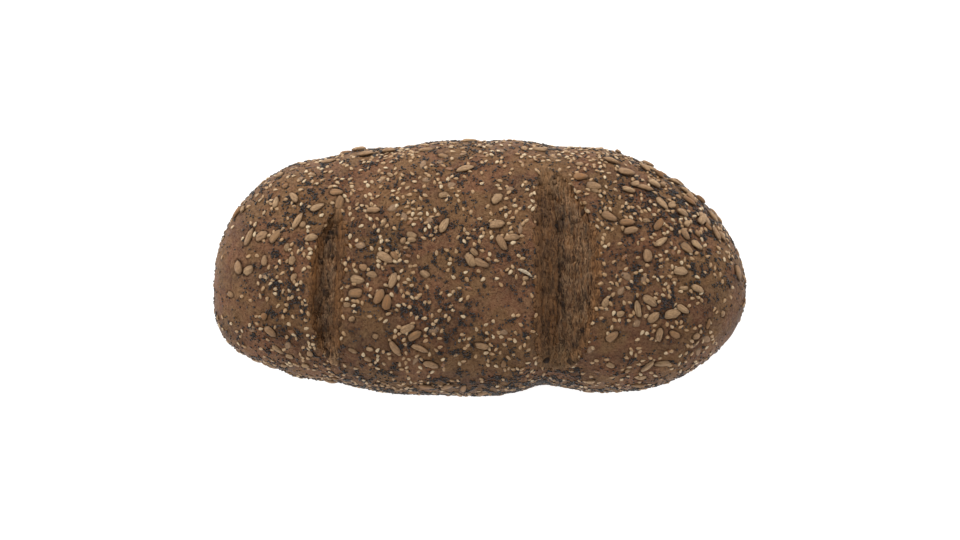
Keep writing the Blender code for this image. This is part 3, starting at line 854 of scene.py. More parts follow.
def ring_faces(rings, segments):
    """Faces between neighbouring rings, and a fan at each tip of the loaf."""
    index = np.arange(rings * segments).reshape(rings, segments)
    after = np.roll(index, -1, axis=1)
    sides = np.stack([index[:-1], after[:-1], after[1:], index[1:]], axis=-1).reshape(-1, 4)
    left_tip, right_tip = rings * segments, rings * segments + 1
    fans = [(left_tip, b, a) for a, b in zip(index[0].tolist(), after[0].tolist())]
    fans += [(right_tip, a, b) for a, b in zip(index[-1].tolist(), after[-1].tolist())]
    return sides.tolist() + fans


def crust_carrier():
    """The loaf's smooth form as a net of rings, with the shares that its finish reads."""
    stations, angles = ring_stations(), segment_angles()
    x, angle = (grid.ravel() for grid in np.meshgrid(stations, angles, indexing="ij"))
    x = np.append(x, [-HALF_LENGTH, HALF_LENGTH])
    angle = np.append(angle, [0.0, 0.0])

    x = follow_lips(x, crust_frame(x, angle)[0])
    y, z, in_y, in_z = crust_frame(x, angle)
    above = np.clip((z - WAIST_HEIGHT) / WAIST_EASING, 0.0, 1.0)
    torn = torn_share(x, y) * above
    depth = crust_depth(x, y) * above
    flat_y = y
    y, z = y + in_y * depth, z + in_z * depth
    sole = smooth_step(SOLE_HEIGHT, 0.0, z)
    z = np.maximum(z, 0.0)

    points, faces = np.stack([x, y, z], axis=-1), ring_faces(len(stations), len(angles))
    mesh = new_mesh("crust_carrier", points.tolist(), faces=faces)
    bm = bmesh.new()
    bm.from_mesh(mesh)
    bmesh.ops.recalc_face_normals(bm, faces=bm.faces[:])
    bm.to_mesh(mesh)
    bm.free()

    bare = soft_patches(x, flat_y, [(*patch, 1.0) for patch in BARER_PATCHES])
    seeded = (1.0 - np.minimum(bare, 1.0)) * (1.0 - smooth_step(0.85, 1.0, torn))
    seeded *= smooth_step(*SEEDS_START, z)
    # How upright the crust is: more poppy seeds on the flanks, and painted sheen on the shoulders
    shoulder = smooth_step(*SHOULDER_TURN, 1.0 - np.abs(in_z))
    poppy = POPPY_BASE + POPPY_ON_FLANKS * shoulder + soft_patches(x, flat_y, POPPY_PATCHES)
    poppy *= POPPY_THINNEST + (1.0 - POPPY_THINNEST) * smooth_step(*POPPY_HEIGHTS, z)
    sesame = SESAME_BASE + soft_patches(x, flat_y, SESAME_PATCHES)
    crumbly, contact = np.zeros_like(x), np.zeros_like(x)
    for cut in CUTS:
        beyond = np.maximum(-lip_reach(cut, x, flat_y), 0.0)
        most_crumbs, spread = CRUMBS_BY_LIP
        crumbly = np.maximum(crumbly, most_crumbs * np.exp(-beyond / spread) * above)
        # Painted shade along the front half of a cut's low lip
        low_lip, high_lip = lip_lines(cut, flat_y)
        front = smooth_step(0.3, -0.1, cut_place(cut, x, flat_y)[1])
        line = np.exp(-((x - low_lip) / LIP_SHADE_WIDTH) ** 2)
        contact += cut["dark_lip"] * front * above * line
        off_rows = [x - high_lip - SESAME_ROW]
        if cut["bulge"] == LEFT:
            off_rows.append(x - low_lip + SESAME_ROW)
        for off_row in off_rows:
            sesame += SESAME_IN_ROW * np.exp(-(off_row / SESAME_ROW) ** 2) * above
    set_shares(mesh, {
        "torn": torn, "sole": sole, "shoulder": shoulder * (1.0 - torn), "seeded": seeded,
        "contact": contact, "poppy_share": np.minimum(poppy, 1.0),
        "sesame_share": np.minimum(sesame, 1.0), "crumbly": crumbly,
    })
    return mesh


def crust_tree():
    """Raises soft wrinkles and a fine grain on the crust, and keeps the sole flat."""
    tree, node, given = new_tree("crust_relief", [
        ("Wrinkle height", "Float", 0.5 * MM), ("Wrinkle size", "Float", 9.0 * MM),
        ("Grain height", "Float", 0.15 * MM), ("Lump height", "Float", 0.5 * MM),
        ("Lump spacing", "Float", 5.0 * MM), ("Material", "Material", None),
    ])
    place = node("GeometryNodeInputPosition")
    rises = []
    for height, scale, detail in (
        ("Wrinkle height", node("divide", 1.0, given["Wrinkle size"]), 3.0),
        ("Grain height", 1 / GRAIN_SIZE, 2.0),
    ):
        hills = node("subtract", node("noise", place, scale, detail, SOFT), 0.5)
        rises.append(node("multiply", hills, given[height]))
    rise = node("multiply", node("add", *rises), 2.0)

    spacing = node("divide", 1.0, given["Lump spacing"])
    lumps = node("cells", warped(node, place, 4 * MM, 2 * MM), spacing, out="all")
    domed = node("ease", lumps["Distance"], 0.50, 0.10)
    pick = node("FunctionNodeSeparateColor", lumps["Color"])
    domed = node("multiply", node("multiply", domed, pick), node("attribute", "seeded"))
    rise = node("add", rise, node("multiply", domed, given["Lump height"]))
    for calmed, share in (("torn", 0.6), ("sole", 0.9)):
        lost = node("multiply", node("attribute", calmed), share)
        rise = node("multiply", rise, node("subtract", 1.0, lost))
    raised = raise_surface(node, given["Geometry"], rise)

    parts = node("ShaderNodeSeparateXYZ", node("GeometryNodeInputPosition"), out="all")
    flat = node("ShaderNodeCombineXYZ", parts["X"], parts["Y"], node("maximum", parts["Z"], 0.0))
    end_tree(node, given, node("GeometryNodeSetPosition", {"Geometry": raised, "Position": flat}))
    return tree


def crumb_tree():
    """Raises torn strands along Y on the crumb, lumps between them, and opens pores in it."""
    tree, node, given = new_tree("crumb_relief", [
        ("Strand height", "Float", 1.5 * MM), ("Strand width", "Float", 1.5 * MM),
        ("Strand length", "Float", 13.0 * MM), ("Pit depth", "Float", 2.0 * MM),
        ("Material", "Material", None),
    ])
    place = node("GeometryNodeInputPosition")
    swayed = warped(node, warped(node, place, 14 * MM, 6 * MM), 4 * MM, 3.2 * MM)

    def folds(scale, detail):
        noise_value = node("noise", node("stretch", swayed, scale), 1.0, detail, SOFT)
        return node("absolute", node("subtract", noise_value, 0.5))

    def strands(share_of_width):
        wide = node("divide", 1 / share_of_width, given["Strand width"])
        long = node("divide", 1 / share_of_width ** 0.5, given["Strand length"])
        folded = folds(node("ShaderNodeCombineXYZ", wide, long, long), 0.6)
        return node("subtract", 0.5, node("multiply", folded, 5.0))

    thick, thin = strands(2.6), strands(0.9)
    rise = node("add", node("multiply", thick, 0.40), node("multiply", thin, 0.60))
    rise = node("multiply", rise, given["Strand height"])
    lumps = node("subtract", node("noise", place, 1 / (8 * MM), 3.0, SOFT), 0.5)
    rise = node("add", rise, node("multiply", lumps, 3.6 * MM))
    felt = folds((1 / (1.1 * MM), 1 / (4.0 * MM), 1 / (4.0 * MM)), 3.0)
    rise = node("subtract", rise, node("multiply", felt, 3.0 * MM))

    drawn_out = (1 / (1.6 * MM), 1 / (3.0 * MM), 1 / (3.0 * MM))
    pore_place = node("stretch", warped(node, place, 2.5 * MM, 2.2 * MM), drawn_out)
    pores = node("cells", pore_place, 1.0, out="all")
    chosen = node("range", node("FunctionNodeSeparateColor", pores["Color"]), 0.82, 0.94)
    hole = node("ease", pores["Distance"], 0.34, 0.12)
    pit = node("multiply", node("multiply", hole, chosen), given["Pit depth"])
    wear = node("subtract", node("noise", place, 1 / (1.6 * MM), 2.0, SOFT), 0.2)
    worn = node("multiply", node("attribute", "crease"), node("multiply", wear, 3.0))
    opened = node("ease", worn, 0.45, 1.1)
    pit = node("add", pit, node("multiply", opened, 1.4 * MM))
    rise = node("multiply", node("subtract", rise, pit), node("attribute", "calm"))
    # How deep each point lies below its rise, kept for the painted shade in the crumb's hollows
    cavity = node("divide", node("subtract", 0.0, rise), 2.0 * MM)
    kept = node("store", given["Geometry"], "cavity", cavity, "POINT")
    end_tree(node, given, raise_surface(node, kept, rise))
    return tree


def crumb_carrier(cut):
    """A fine net of one cut's torn crumb, which runs on a little way below the crust."""
    low, high = resting_lips(cut)
    reach = cut["half_length"] + 2.0 * MM
    turns = np.linspace(0.0, math.pi, 2001)
    ridge_y = crust_frame(np.full_like(turns, (low + high) / 2), turns)[0]
    span = turns[np.abs(ridge_y - cut["middle"]) < reach]
    lengthwise = int(2.2 * reach / CRUMB_STEP[1])
    widthwise = int((high - low + 2 * CRUMB_MARGIN) / CRUMB_STEP[0])
    x, angle = (grid.ravel() for grid in np.meshgrid(
        np.linspace(low - CRUMB_MARGIN, high + CRUMB_MARGIN, widthwise),
        np.linspace(span[0], span[-1], lengthwise), indexing="ij",
    ))
    y, z, in_y, in_z = crust_frame(x, angle)
    depth = crumb_depth(cut, x, y)
    across, along, _, _ = cut_place(cut, x, y)
    inside = lip_reach(cut, x, y)
    off_crease = (across - cut["crease"]) * cut["width"] + CREASE_WANDER * ragged(y, 2.6)
    crease = np.exp(-(off_crease / CREASE_WIDTH) ** 2)
    crease *= smooth_step(0.75, 0.45, np.abs(along - cut["crease_middle"])) * cut["crease_share"]
    crease *= np.clip(0.75 + 0.6 * ragged(y, 4.0) / LIP_RAGGEDNESS, 0.3, 1.0)
    # The ends of a cut get a rim of painted shade, which also opens pits in the crumb there
    rim = np.exp(-((inside - RIM_PLACE) / RIM_WIDTH) ** 2)
    front_rim, back_rim = smooth_step(0.75, 0.92, -along), smooth_step(0.70, 0.90, along)
    for darkened, place in zip(cut["dark_ends"], (front_rim, back_rim)):
        crease = np.maximum(crease, darkened * rim * place)
    for pit_x, pit_y, half_wide, half_long, turn in PITS:
        turn, off_x, off_y = math.radians(turn), x / MM - pit_x, y / MM - pit_y
        wide = (off_x * math.cos(turn) + off_y * math.sin(turn)) / half_wide
        long = (off_y * math.cos(turn) - off_x * math.sin(turn)) / half_long
        crease = np.maximum(crease, np.exp(-(1.6 * (wide ** 2 + long ** 2)) ** 1.5))
    golden = np.maximum(cut["golden"] * smooth_step(4.0 * MM, 1.0 * MM, inside),
                        cut["golden_strip"] * smooth_step(0.40, 0.28, across))
    shaded = np.interp(across, cut["across"], cut["shaded"])
    within = np.maximum(inside, 0.0)

    points = np.stack([x, y + in_y * depth, z + in_z * depth], axis=-1)
    index = np.arange(widthwise * lengthwise).reshape(widthwise, lengthwise)
    faces = np.stack([index[:-1, :-1], index[1:, :-1], index[1:, 1:], index[:-1, 1:]], axis=-1)
    return new_mesh("crumb_carrier", points.tolist(), faces=faces.reshape(-1, 4).tolist(), shares={
        "crease": crease, "calm": 0.65 + 0.35 * smooth_step(0.0, 1.5 * MM, inside),
        "golden": golden * smooth_step(-0.95, -0.70, along),
        "shaded": shaded * smooth_step(0.95, 0.6, np.abs(along)),
        "seeded": smooth_step(0.2 * MM, 0.8 * MM, inside),
        "poppy_share": 0.015 + 0.30 * np.exp(-within / (1.6 * MM)),
        "sesame_share": 0.012 + 0.30 * np.exp(-within / (1.2 * MM)),
        "crumbly": np.full_like(x, 0.6),
        "ends": cut["pale_ends"][0] * smooth_step(0.66, 0.95, -along)
                + cut["pale_ends"][1] * smooth_step(0.66, 0.95, along),
    })


def streaked_crumb(node, place, settings):
    """Colour and relief of torn crumb: strands along Y, with pale threads that cross them."""
    wandering = warped(node, place, 6 * MM, 3.4 * MM)

    def strands(width, length, detail, turn=0.0, roughness=SOFT):
        drawn_out = node("ShaderNodeMapping", {
            "Vector": wandering, "Rotation": (0.0, 0.0, turn),
            "Scale": (1 / width, 1 / length, 1 / length),
        })
        return node("noise", drawn_out, 1.0, detail, roughness)

    relief = strands(1.0 * MM, 9.0 * MM, 5.0, roughness=0.66)
    crumb = node("mix", node("range", relief, 0.43, 0.57), settings.crumb_shade, settings.crumb)
    golden = node("range", strands(7 * MM, 14 * MM, 3.0), 0.46, 0.56)
    ashen = node("range", strands(4 * MM, 7 * MM, 3.0), 0.50, 0.62)
    # Dark streaks along the strands: painted shade of furrows
    furrow_shade = node("range", strands(1.5 * MM, 11 * MM, 2.0, 0.1), 0.47, 0.37)
    layers = [
        (golden, 0.45, settings.golden, "COLOR"),
        (ashen, 0.65, settings.crumb_grey, "COLOR"),
        (furrow_shade, 0.75, settings.crumb_dark),
    ]
    for turn in (-0.5, 0.0, 0.4):
        off_middle = node("absolute", node("add", strands(1.4 * MM, 6 * MM, 1.0, turn), -0.5))
        layers.append((node("range", off_middle, 0.035, 0.0), 0.65, settings.thread))
    return lay_over(node, crumb, layers), relief


def baked_crust(settings):
    """Rye crust baked dark: a dull, mottled brown skin, paler on its shoulders with painted sheen.
    """
    material, node, shader = new_material("baked_rye_crust")
    place = node("object place")

    def patches(size, detail, low, high):
        return node("range", node("noise", place, 1 / size, detail, SOFT), low, high)

    mottle = patches(5 * MM, 4.0, 0.45, 0.75)
    relief = node("noise", place, 1 / (1.5 * MM), 5.0, 0.75)
    # Painted shade under the poppy clusters, by the same noise that crowds them
    crowd = node("clusters", place, POPPY_NUMBER * CLUSTER_SHIFT, 1 / POPPY_CLUSTER)
    crowd = node("multiply", node("range", crowd, 0.50, 0.62), node("share", "poppy_share"))
    crust = lay_over(node, settings.dark, [
        (patches(26 * MM, 3.0, 0.38, 0.62), 1.0, settings.brown),
        (patches(11 * MM, 3.0, 0.46, 0.64), 0.35, settings.ruddy),
        (patches(19 * MM, 2.0, 0.47, 0.60), 0.60, settings.ochre),
        (mottle, 0.40, settings.light),
        # Painted sheen: the upright shoulders of the crust are paler
        (node("share", "shoulder"), 0.20, settings.light),
        # Colour of the fine grain, which follows its bump: painted light on the rises, painted
        # shade in the hollows
        (node("range", relief, 0.50, 0.64), 0.42, settings.light),
        (node("range", relief, 0.48, 0.36), 0.62, settings.crumb_dark),
        # Small dark specks: the painted shade of pores
        (node("range", node("cells", place, 1 / (2.1 * MM)), 0.24, 0.10), 0.6, settings.crumb_dark),
        # Painted shade round the kernels and along the front of a cut's low lip
        (node("share", "contact"), 0.8, settings.crumb_dark),
        (crowd, 0.5, settings.crumb_dark),
    ])
    fray = node("multiply", node("noise", place, 1 / (1.5 * MM), 3.0, SOFT), 0.9)
    frayed = node("range", node("add", node("share", "torn"), fray), 0.65, 0.95)
    crust = node("mix", frayed, crust, streaked_crumb(node, place, settings)[0])
    rough = node("ShaderNodeMapRange", {"Value": mottle, "To Min": 0.50, "To Max": 0.72})
    finish_coat(node, shader, crust, relief, 1.4 * MM, rough, 0.15)
    return material


def torn_crumb(settings):
    """Crumb torn open in the oven: matt, streaked grey-brown strands with golden edges."""
    material, node, shader = new_material("torn_rye_crumb")
    crumb, relief = streaked_crumb(node, node("object place"), settings)
    golden, cavity = node("share", "golden"), node("share", "cavity")
    crumb = lay_over(node, crumb, [
        (golden, 0.3, settings.golden),
        (golden, 0.5, settings.golden, "COLOR"),
        (node("share", "ends"), 0.32, settings.light),
        (node("share", "shaded"), 0.7, SHADED_TINT, "MULTIPLY"),
        # Painted shade in the crease, the pores and the rims at the ends, then in the hollows, near
        # black in the deepest ones
        (node("share", "crease"), 0.90, settings.crumb_dark),
        (cavity, 0.85, settings.crumb_dark),
        (node("range", cavity, 0.55, 1.0), 0.85, from_hex("#1c0f07")),
    ])
    finish_coat(node, shader, crumb, relief, 0.9 * MM, 0.72, 0.2)
    return material


class LOAF_OT_crust(bpy.types.Operator):
    """Make the crust, in place of the plain solid"""
    bl_idname = "loaf.crust"
    bl_label = "Crust"

    def execute(self, context):
        settings = context.scene.loaf_crust
        crust = run_tree("loaf_crust", crust_carrier(), crust_tree(), {
            "Wrinkle height": settings.wrinkle_height,
            "Wrinkle size": settings.wrinkle_size,
            "Grain height": settings.grain_height,
            "Lump height": settings.lump_height,
            "Lump spacing": settings.lump_spacing,
            "Material": baked_crust(settings),
        })
        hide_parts("loaf")
        return {"FINISHED"}


class LOAF_OT_crumb(bpy.types.Operator):
    """Make the torn crumb that shows in the two cuts"""
    bl_idname = "loaf.crumb"
    bl_label = "Torn crumb"

    def execute(self, context):
        settings = context.scene.loaf_crust
        tree, finish = crumb_tree(), torn_crumb(settings)
        for name, cut in zip(CRUMB_NAMES, CUTS):
            crumb = run_tree(name, crumb_carrier(cut), tree, {
                "Strand height": settings.strand_height,
                "Strand width": settings.strand_width,
                "Strand length": settings.strand_length,
                "Pit depth": settings.pit_depth,
                "Material": finish,
            })
            thicken(crumb, CRUMB_THICKNESS)
        return {"FINISHED"}


# ---------------------------------------------------------------------------------------------
# Seeds
# ---------------------------------------------------------------------------------------------

def drop_shape(name, around, bands, taper, point, lump, draw, blunt=0.0):
    """A seed of unit size with its long side on X: blunt at -X and more pointed at +X."""
    bm = bmesh.new()
    bmesh.ops.create_uvsphere(
        bm, u_segments=around, v_segments=bands, radius=0.5,
        matrix=Matrix.Rotation(math.pi / 2, 4, "Y"),
    )
    shifts = [draw.uniform(-lump, lump) for _ in range(6)]
    shift = Vector((draw.uniform(0.0, 50.0), 0.0, 0.0))
    for vert in bm.verts:
        along = 2.0 * vert.co.x
        vert.co *= 1.0 + lump * noise.noise(vert.co * 3.0 + shift)
        narrow = 1.0 - taper * along - point * max(along, 0.0) ** 2 + blunt * along ** 2
        vert.co.y *= narrow * (1.0 + shifts[0] * along + shifts[1] * math.sin(3 * along))
        vert.co.z *= (1.0 - 0.5 * taper * along) * (1.0 + shifts[2] * math.sin(2 * along))
        vert.co.y += shifts[3] * (1.0 - along ** 2) * 0.5
        vert.co.z += shifts[4] * (1.0 - along ** 2) * 0.3
    mesh = mesh_of(name, bm)
    along, across, up = vertex_array(mesh).T
    set_shares(mesh, {"grain_along": along, "grain_across": across, "grain_up": up})
    mesh.shade_smooth()
    return bpy.data.objects.new(name, mesh)


def lay_shapes(name, carrier, tree, shapes, values):
    """Make a piece by a tree that lays shapes, which are held away from the scene meanwhile."""
    held = bpy.data.collections.new(name + "_shapes")
    for shape in shapes:
        held.objects.link(shape)
    run_tree(name, carrier, tree, {"Shapes": held, **values})
    for shape in shapes:
        bpy.data.objects.remove(shape)
    bpy.data.collections.remove(held)


def seed_bed():
    """The crust and the torn crumb in one mesh, for the fine seeds and fibres to lie on."""
    bm = bmesh.new()
    for name in ("loaf_crust", *CRUMB_NAMES):
        bm.from_mesh(made_piece(name).data)
    return mesh_of("seed_bed", bm)


def search_tree(mesh):
    """A mesh in the form that rays are cast at."""
    bm = bmesh.new()
    bm.from_mesh(mesh)
    found = BVHTree.FromBMesh(bm)
    bm.free()
    return found


def ground_height(lookup, x, y):
    """Height of the first surface straight below a high point."""
    return lookup.ray_cast(Vector((x, y, 1.0)), Vector((0, 0, -1)))[0].z


def on_crust(lookup, x, angle):
    """The point and normal of the crust at an X and at an angle from the back (+Y)."""
    outward = Vector((0.0, math.cos(angle), math.sin(angle)))
    return lookup.ray_cast(Vector((x, 0.0, WAIST_HEIGHT)), outward)[:2]


def marked_places(lookup, marks):
    """Points of the loaf that the camera sees at marked places: (point, normal, turn)."""
    camera = Vector(CAMERA_PLACE)
    places = []
    for x, y, turn in marks:
        mark = Vector((x * MM, y * MM, WAIST_HEIGHT))
        point, normal, _, _ = lookup.ray_cast(camera, mark - camera)
        places.append((point, normal, math.radians(turn)))
    return places


def add_kernels(places, lookup, count, spacing, steepest, draw):
    """Add kernels by a seeded rule, more of them in the crowded patches.

    They lie only where the crust is steeper than a share, which leaves the marked top alone.
    """
    while len(places) < count:
        x = draw.uniform(-HALF_LENGTH, HALF_LENGTH)
        angle = draw.uniform(-0.8, math.pi + 0.8)
        chance, turn = draw.random(), draw.uniform(0.0, math.pi)
        point, normal = on_crust(lookup, x * SPREAD_REACH, angle)
        if point is None or point.z < KERNEL_LOWEST or normal.z > steepest:
            continue
        if in_a_cut(point.x, point.y, KERNEL_SIZE[0] / 2) and point.z > WAIST_HEIGHT:
            continue
        if in_a_patch(point.x, point.y, BARE_PATCHES):
            continue
        if chance > SPARSE_SHARE and not in_a_patch(point.x, point.y, CROWDED_PATCHES):
            continue
        piled = in_a_patch(point.x, point.y, PILED_PATCHES)
        apart = min(spacing, PILED_SPACING) if piled else spacing
        if all((point - other).length > apart for other, _, _ in places):
            places.append((point, normal, turn))


def spread_places(lookup, marks, count, taken, draw):
    """The marked places, then the rest by a seeded rule, clear of what lies there already."""
    places = marked_places(lookup, marks)
    while len(places) < count:
        x = draw.uniform(-SPREAD_REACH, SPREAD_REACH) * HALF_LENGTH
        angle = draw.uniform(-0.5, math.pi + 0.5)
        turn = draw.uniform(0.0, math.pi)
        point, normal = on_crust(lookup, x, angle)
        near = min((point - other).length for other, _, _ in taken + places)
        in_cut = in_a_cut(point.x, point.y, 3 * MM) and point.z > WAIST_HEIGHT
        if near > SPREAD_SPACING and point.z > KERNEL_LOWEST and not in_cut:
            places.append((point, normal, turn))
    return places


def laid_carrier(places, sizes, prouds, draw):
    """One vertex a kernel or flake: the way it faces, its heading, size, tint and depth."""
    low, high = min(prouds), max(prouds)
    mesh = new_mesh("laid_carrier", [
        point + normal * (proud * size[2])
        for (point, normal, _), size, proud in zip(places, sizes, prouds)
    ], shares={
        "tint": [draw.random() for _ in places],
        "sunk": [(high - proud) / (high - low) for proud in prouds],
    })
    for name, values in (
        ("facing", [normal for _, normal, _ in places]),
        ("heading", [(math.cos(turn), math.sin(turn), 0.0) for _, _, turn in places]),
        ("size", sizes),
    ):
        attribute = mesh.attributes.new(name, "FLOAT_VECTOR", "POINT")
        attribute.data.foreach_set("vector", np.array(values, np.float32).ravel())
    kinds = mesh.attributes.new("kind", "INT", "POINT")
    kinds.data.foreach_set("value", [draw.randrange(40) for _ in places])
    return mesh


def put_shapes(node, given, points, pick, turned, size):
    """Put one of the shapes on each point."""
    shapes = node("GeometryNodeCollectionInfo", {
        "Collection": given["Shapes"], "Separate Children": True, "Reset Children": True,
    })
    return node("GeometryNodeInstanceOnPoints", {
        "Points": points, "Instance": shapes, "Pick Instance": True, "Instance Index": pick,
        "Rotation": turned, "Scale": size,
    })


def laying_tree():
    """Puts one of several shapes on every vertex, turned to its facing and heading."""
    tree, node, given = new_tree("lay_shapes", [
        ("Shapes", "Collection", None), ("Material", "Material", None),
    ])
    facing, heading, size = (node("vector", name) for name in ("facing", "heading", "size"))
    upright = node("FunctionNodeAlignRotationToVector", {"axis": "Z", "Vector": facing})
    turned = node("FunctionNodeAlignRotationToVector", {
        "axis": "X", "pivot_axis": "Z", "Rotation": upright, "Vector": heading,
    })
    pick = node("GeometryNodeInputNamedAttribute", {"data_type": "INT", "Name": "kind"})
    end_tree(node, given, put_shapes(node, given, given["Geometry"], pick, turned, size))
    return tree


def scatter_tree():
    """Scatters one kind of seed over the crust, thicker where a share says and in clusters."""
    tree, node, given = new_tree("scatter_seeds", [
        ("Shapes", "Collection", None), ("Material", "Material", None),
        ("Density", "Float", 1000.0), ("Spacing", "Float", 1.0 * MM),
        ("Cluster size", "Float", 8.0 * MM), ("Cluster low", "Float", 0.4),
        ("Cluster high", "Float", 0.6), ("Stray share", "Float", 0.1),
        ("Crowding", "Float", 0.0), ("Share gain", "Float", 1.0),
        ("Share name", "String", "seeded"), ("Size", "Vector", (MM, MM, MM)),
        ("Proud", "Float", 0.2), ("Sinking", "Float", 0.0), ("Tilt", "Float", 0.2),
        ("Seed", "Int", 1),
    ])
    share = node("attribute", given["Share name"])
    crowd = node("multiply", node("subtract", share, 0.5), given["Crowding"])
    crowd = node("add", crowd, node(
        "clusters", node("GeometryNodeInputPosition"),
        node("multiply", given["Seed"], CLUSTER_SHIFT), node("divide", 1.0, given["Cluster size"]),
    ))
    crowd = node("ShaderNodeMapRange", {
        "Value": crowd, "From Min": given["Cluster low"], "From Max": given["Cluster high"],
        "To Min": given["Stray share"],
    })
    share = node("minimum", node("multiply", share, given["Share gain"]), 1.0)
    points = node("GeometryNodeDistributePointsOnFaces", {
        "distribute_method": "POISSON", "Mesh": given["Geometry"],
        "Distance Min": given["Spacing"], "Density Max": given["Density"],
        "Density Factor": node(
            "multiply", node("multiply", share, node("attribute", "seeded")), crowd
        ),
        "Seed": given["Seed"],
    }, out="all")

    # Each random choice has a seed of its own
    spin_seed, lean_seed, size_seed, pick_seed, tint_seed, sunk_seed = (
        node("add", given["Seed"], number) for number in range(11, 17)
    )
    spin = node("ShaderNodeCombineXYZ", {"Z": node("chance", 0.0, 2 * math.pi, spin_seed)})
    lean = node("vector chance", (-1.0, -1.0, 0.0), (1.0, 1.0, 0.0), lean_seed)
    turned = points["Rotation"]
    for turn in (spin, node("scale", lean, given["Tilt"])):
        turned = node("FunctionNodeRotateRotation", {
            "rotation_space": "LOCAL", "Rotation": turned,
            "Rotate By": node("FunctionNodeEulerToRotation", turn),
        })
    size = node("stretch", given["Size"], node(
        "vector chance", (0.85, 0.85, 0.85), (1.15, 1.15, 1.15), size_seed
    ))
    sunk = node("chance", 0.0, 1.0, sunk_seed)
    proud = node("subtract", given["Proud"], node("multiply", sunk, given["Sinking"]))
    lift = node("multiply", node("ShaderNodeSeparateXYZ", size, out="Z"), proud)
    lifted = node("GeometryNodeSetPosition", {
        "Geometry": points["Points"], "Offset": node("scale", points["Normal"], lift),
    })
    pick = node("whole chance", 0, 7, pick_seed)
    laid = put_shapes(node, given, lifted, pick, turned, size)
    laid = node("store", laid, "tint", node("chance", 0.0, 1.0, tint_seed), "INSTANCE")
    end_tree(node, given, node("store", laid, "sunk", sunk, "INSTANCE"))
    return tree


def press_in(crust, places, sizes):
    """Sink the crust round each kernel with a ring of painted shade, and keep fine seeds off that
    ground.
    """
    points = vertex_array(crust.data)
    seeded, contact = get_shares(crust.data, "seeded"), get_shares(crust.data, "contact")
    for (point, normal, turn), size in zip(places, sizes):
        half_long, half_wide = size[0] / 2, size[1] / 2
        heading = Vector((math.cos(turn), math.sin(turn), 0.0))
        along = (heading - normal * heading.dot(normal)).normalized()
        across = normal.cross(along)
        near = np.where(np.abs(points[:, 0] - point.x) < 2 * half_long)[0]
        offset = points[near] - np.array(point, np.float32)
        reach = np.sqrt(sum(
            (offset @ np.array(way) / half) ** 2
            for way, half in ((along, half_long), (across, half_wide), (normal, half_long))
        ))
        seeded[near] *= smooth_step(0.9, 1.15, reach)
        # A ring round each kernel is pressed in and darkened with painted shade
        rim = np.exp(-((reach - 1.05) / 0.22) ** 2)
        contact[near] = np.maximum(contact[near], rim)
        points[near] -= np.outer(rim * GROOVE_DEPTH, np.array(normal)).astype(np.float32)
    crust.data.vertices.foreach_set("co", points.ravel())
    crust.data.update()
    set_shares(crust.data, {"seeded": seeded, "contact": contact})


def grained_seed(name, colours, roughness, streak_strength, specular=0.5):
    """A dry seed: streaked along its length, paler or browner, crusted over where it sank, and
    darker on its low sides with painted shade.

    Its colours are the pale, the toasted and the most toasted ones, then the crust's.
    """
    pale, toasted, browned, crusted = colours
    material, node, shader = new_material(name)
    tint = node("share", "tint")
    grain = node("ShaderNodeCombineXYZ", *(
        node("multiply", share, stretch) for share, stretch in (
            (node("share", "grain_along"), 1.6), (node("share", "grain_across"), 6.0), (tint, 40.0),
        )
    ))
    streak = node("noise", grain, 1.0, 4.0, 0.65, 0.6)
    blotch = node("noise", node("object place"), 1 / (1.2 * MM), 4.0, 0.7)
    dark = node("mix", 0.55, toasted, BLACK)
    colour = lay_over(node, pale, [
        (node("range", tint, 0.0, 0.6), 1.0, toasted),
        (node("range", tint, 0.7, 0.9), 1.0, browned),
        (node("range", node("share", "sunk"), 0.55, 0.95), 0.8, crusted),
        (node("range", streak, 0.44, 0.62), streak_strength, dark),
        (node("range", blotch, 0.47, 0.62), 0.48, dark),
        # Painted shade: darker towards the crust, on the low sides of the seed
        (node("range", node("share", "grain_up"), 0.36, 0.02), 0.85, dark),
    ])
    finish_coat(node, shader, colour, streak, 0.5 * MM, roughness, specular)
    return material


def poppy_material(settings):
    """Poppy seed: blue-black and slightly shiny, with a few browner ones."""
    material, node, shader = new_material("poppy_seed_coat")
    brown = [1.6 * channel for channel in from_hex("#3a2c26")[:3]] + [1.0]
    colour = node("mix", node("range", node("share", "tint"), 0.75, 1.0), settings.poppy, brown)
    net = node("cells", node("object place"), 1 / (0.25 * MM))
    finish_coat(node, shader, colour, net, 0.05 * MM, 0.36, 0.5, strength=0.3)
    return material


def lay_seeds(name, places, sizes, prouds, shapes, coat, draw):
    """Make one piece of seeds or flakes that lie at set places."""
    carrier = laid_carrier(places, sizes, prouds, draw)
    lay_shapes(name, carrier, laying_tree(), shapes, {"Material": coat})


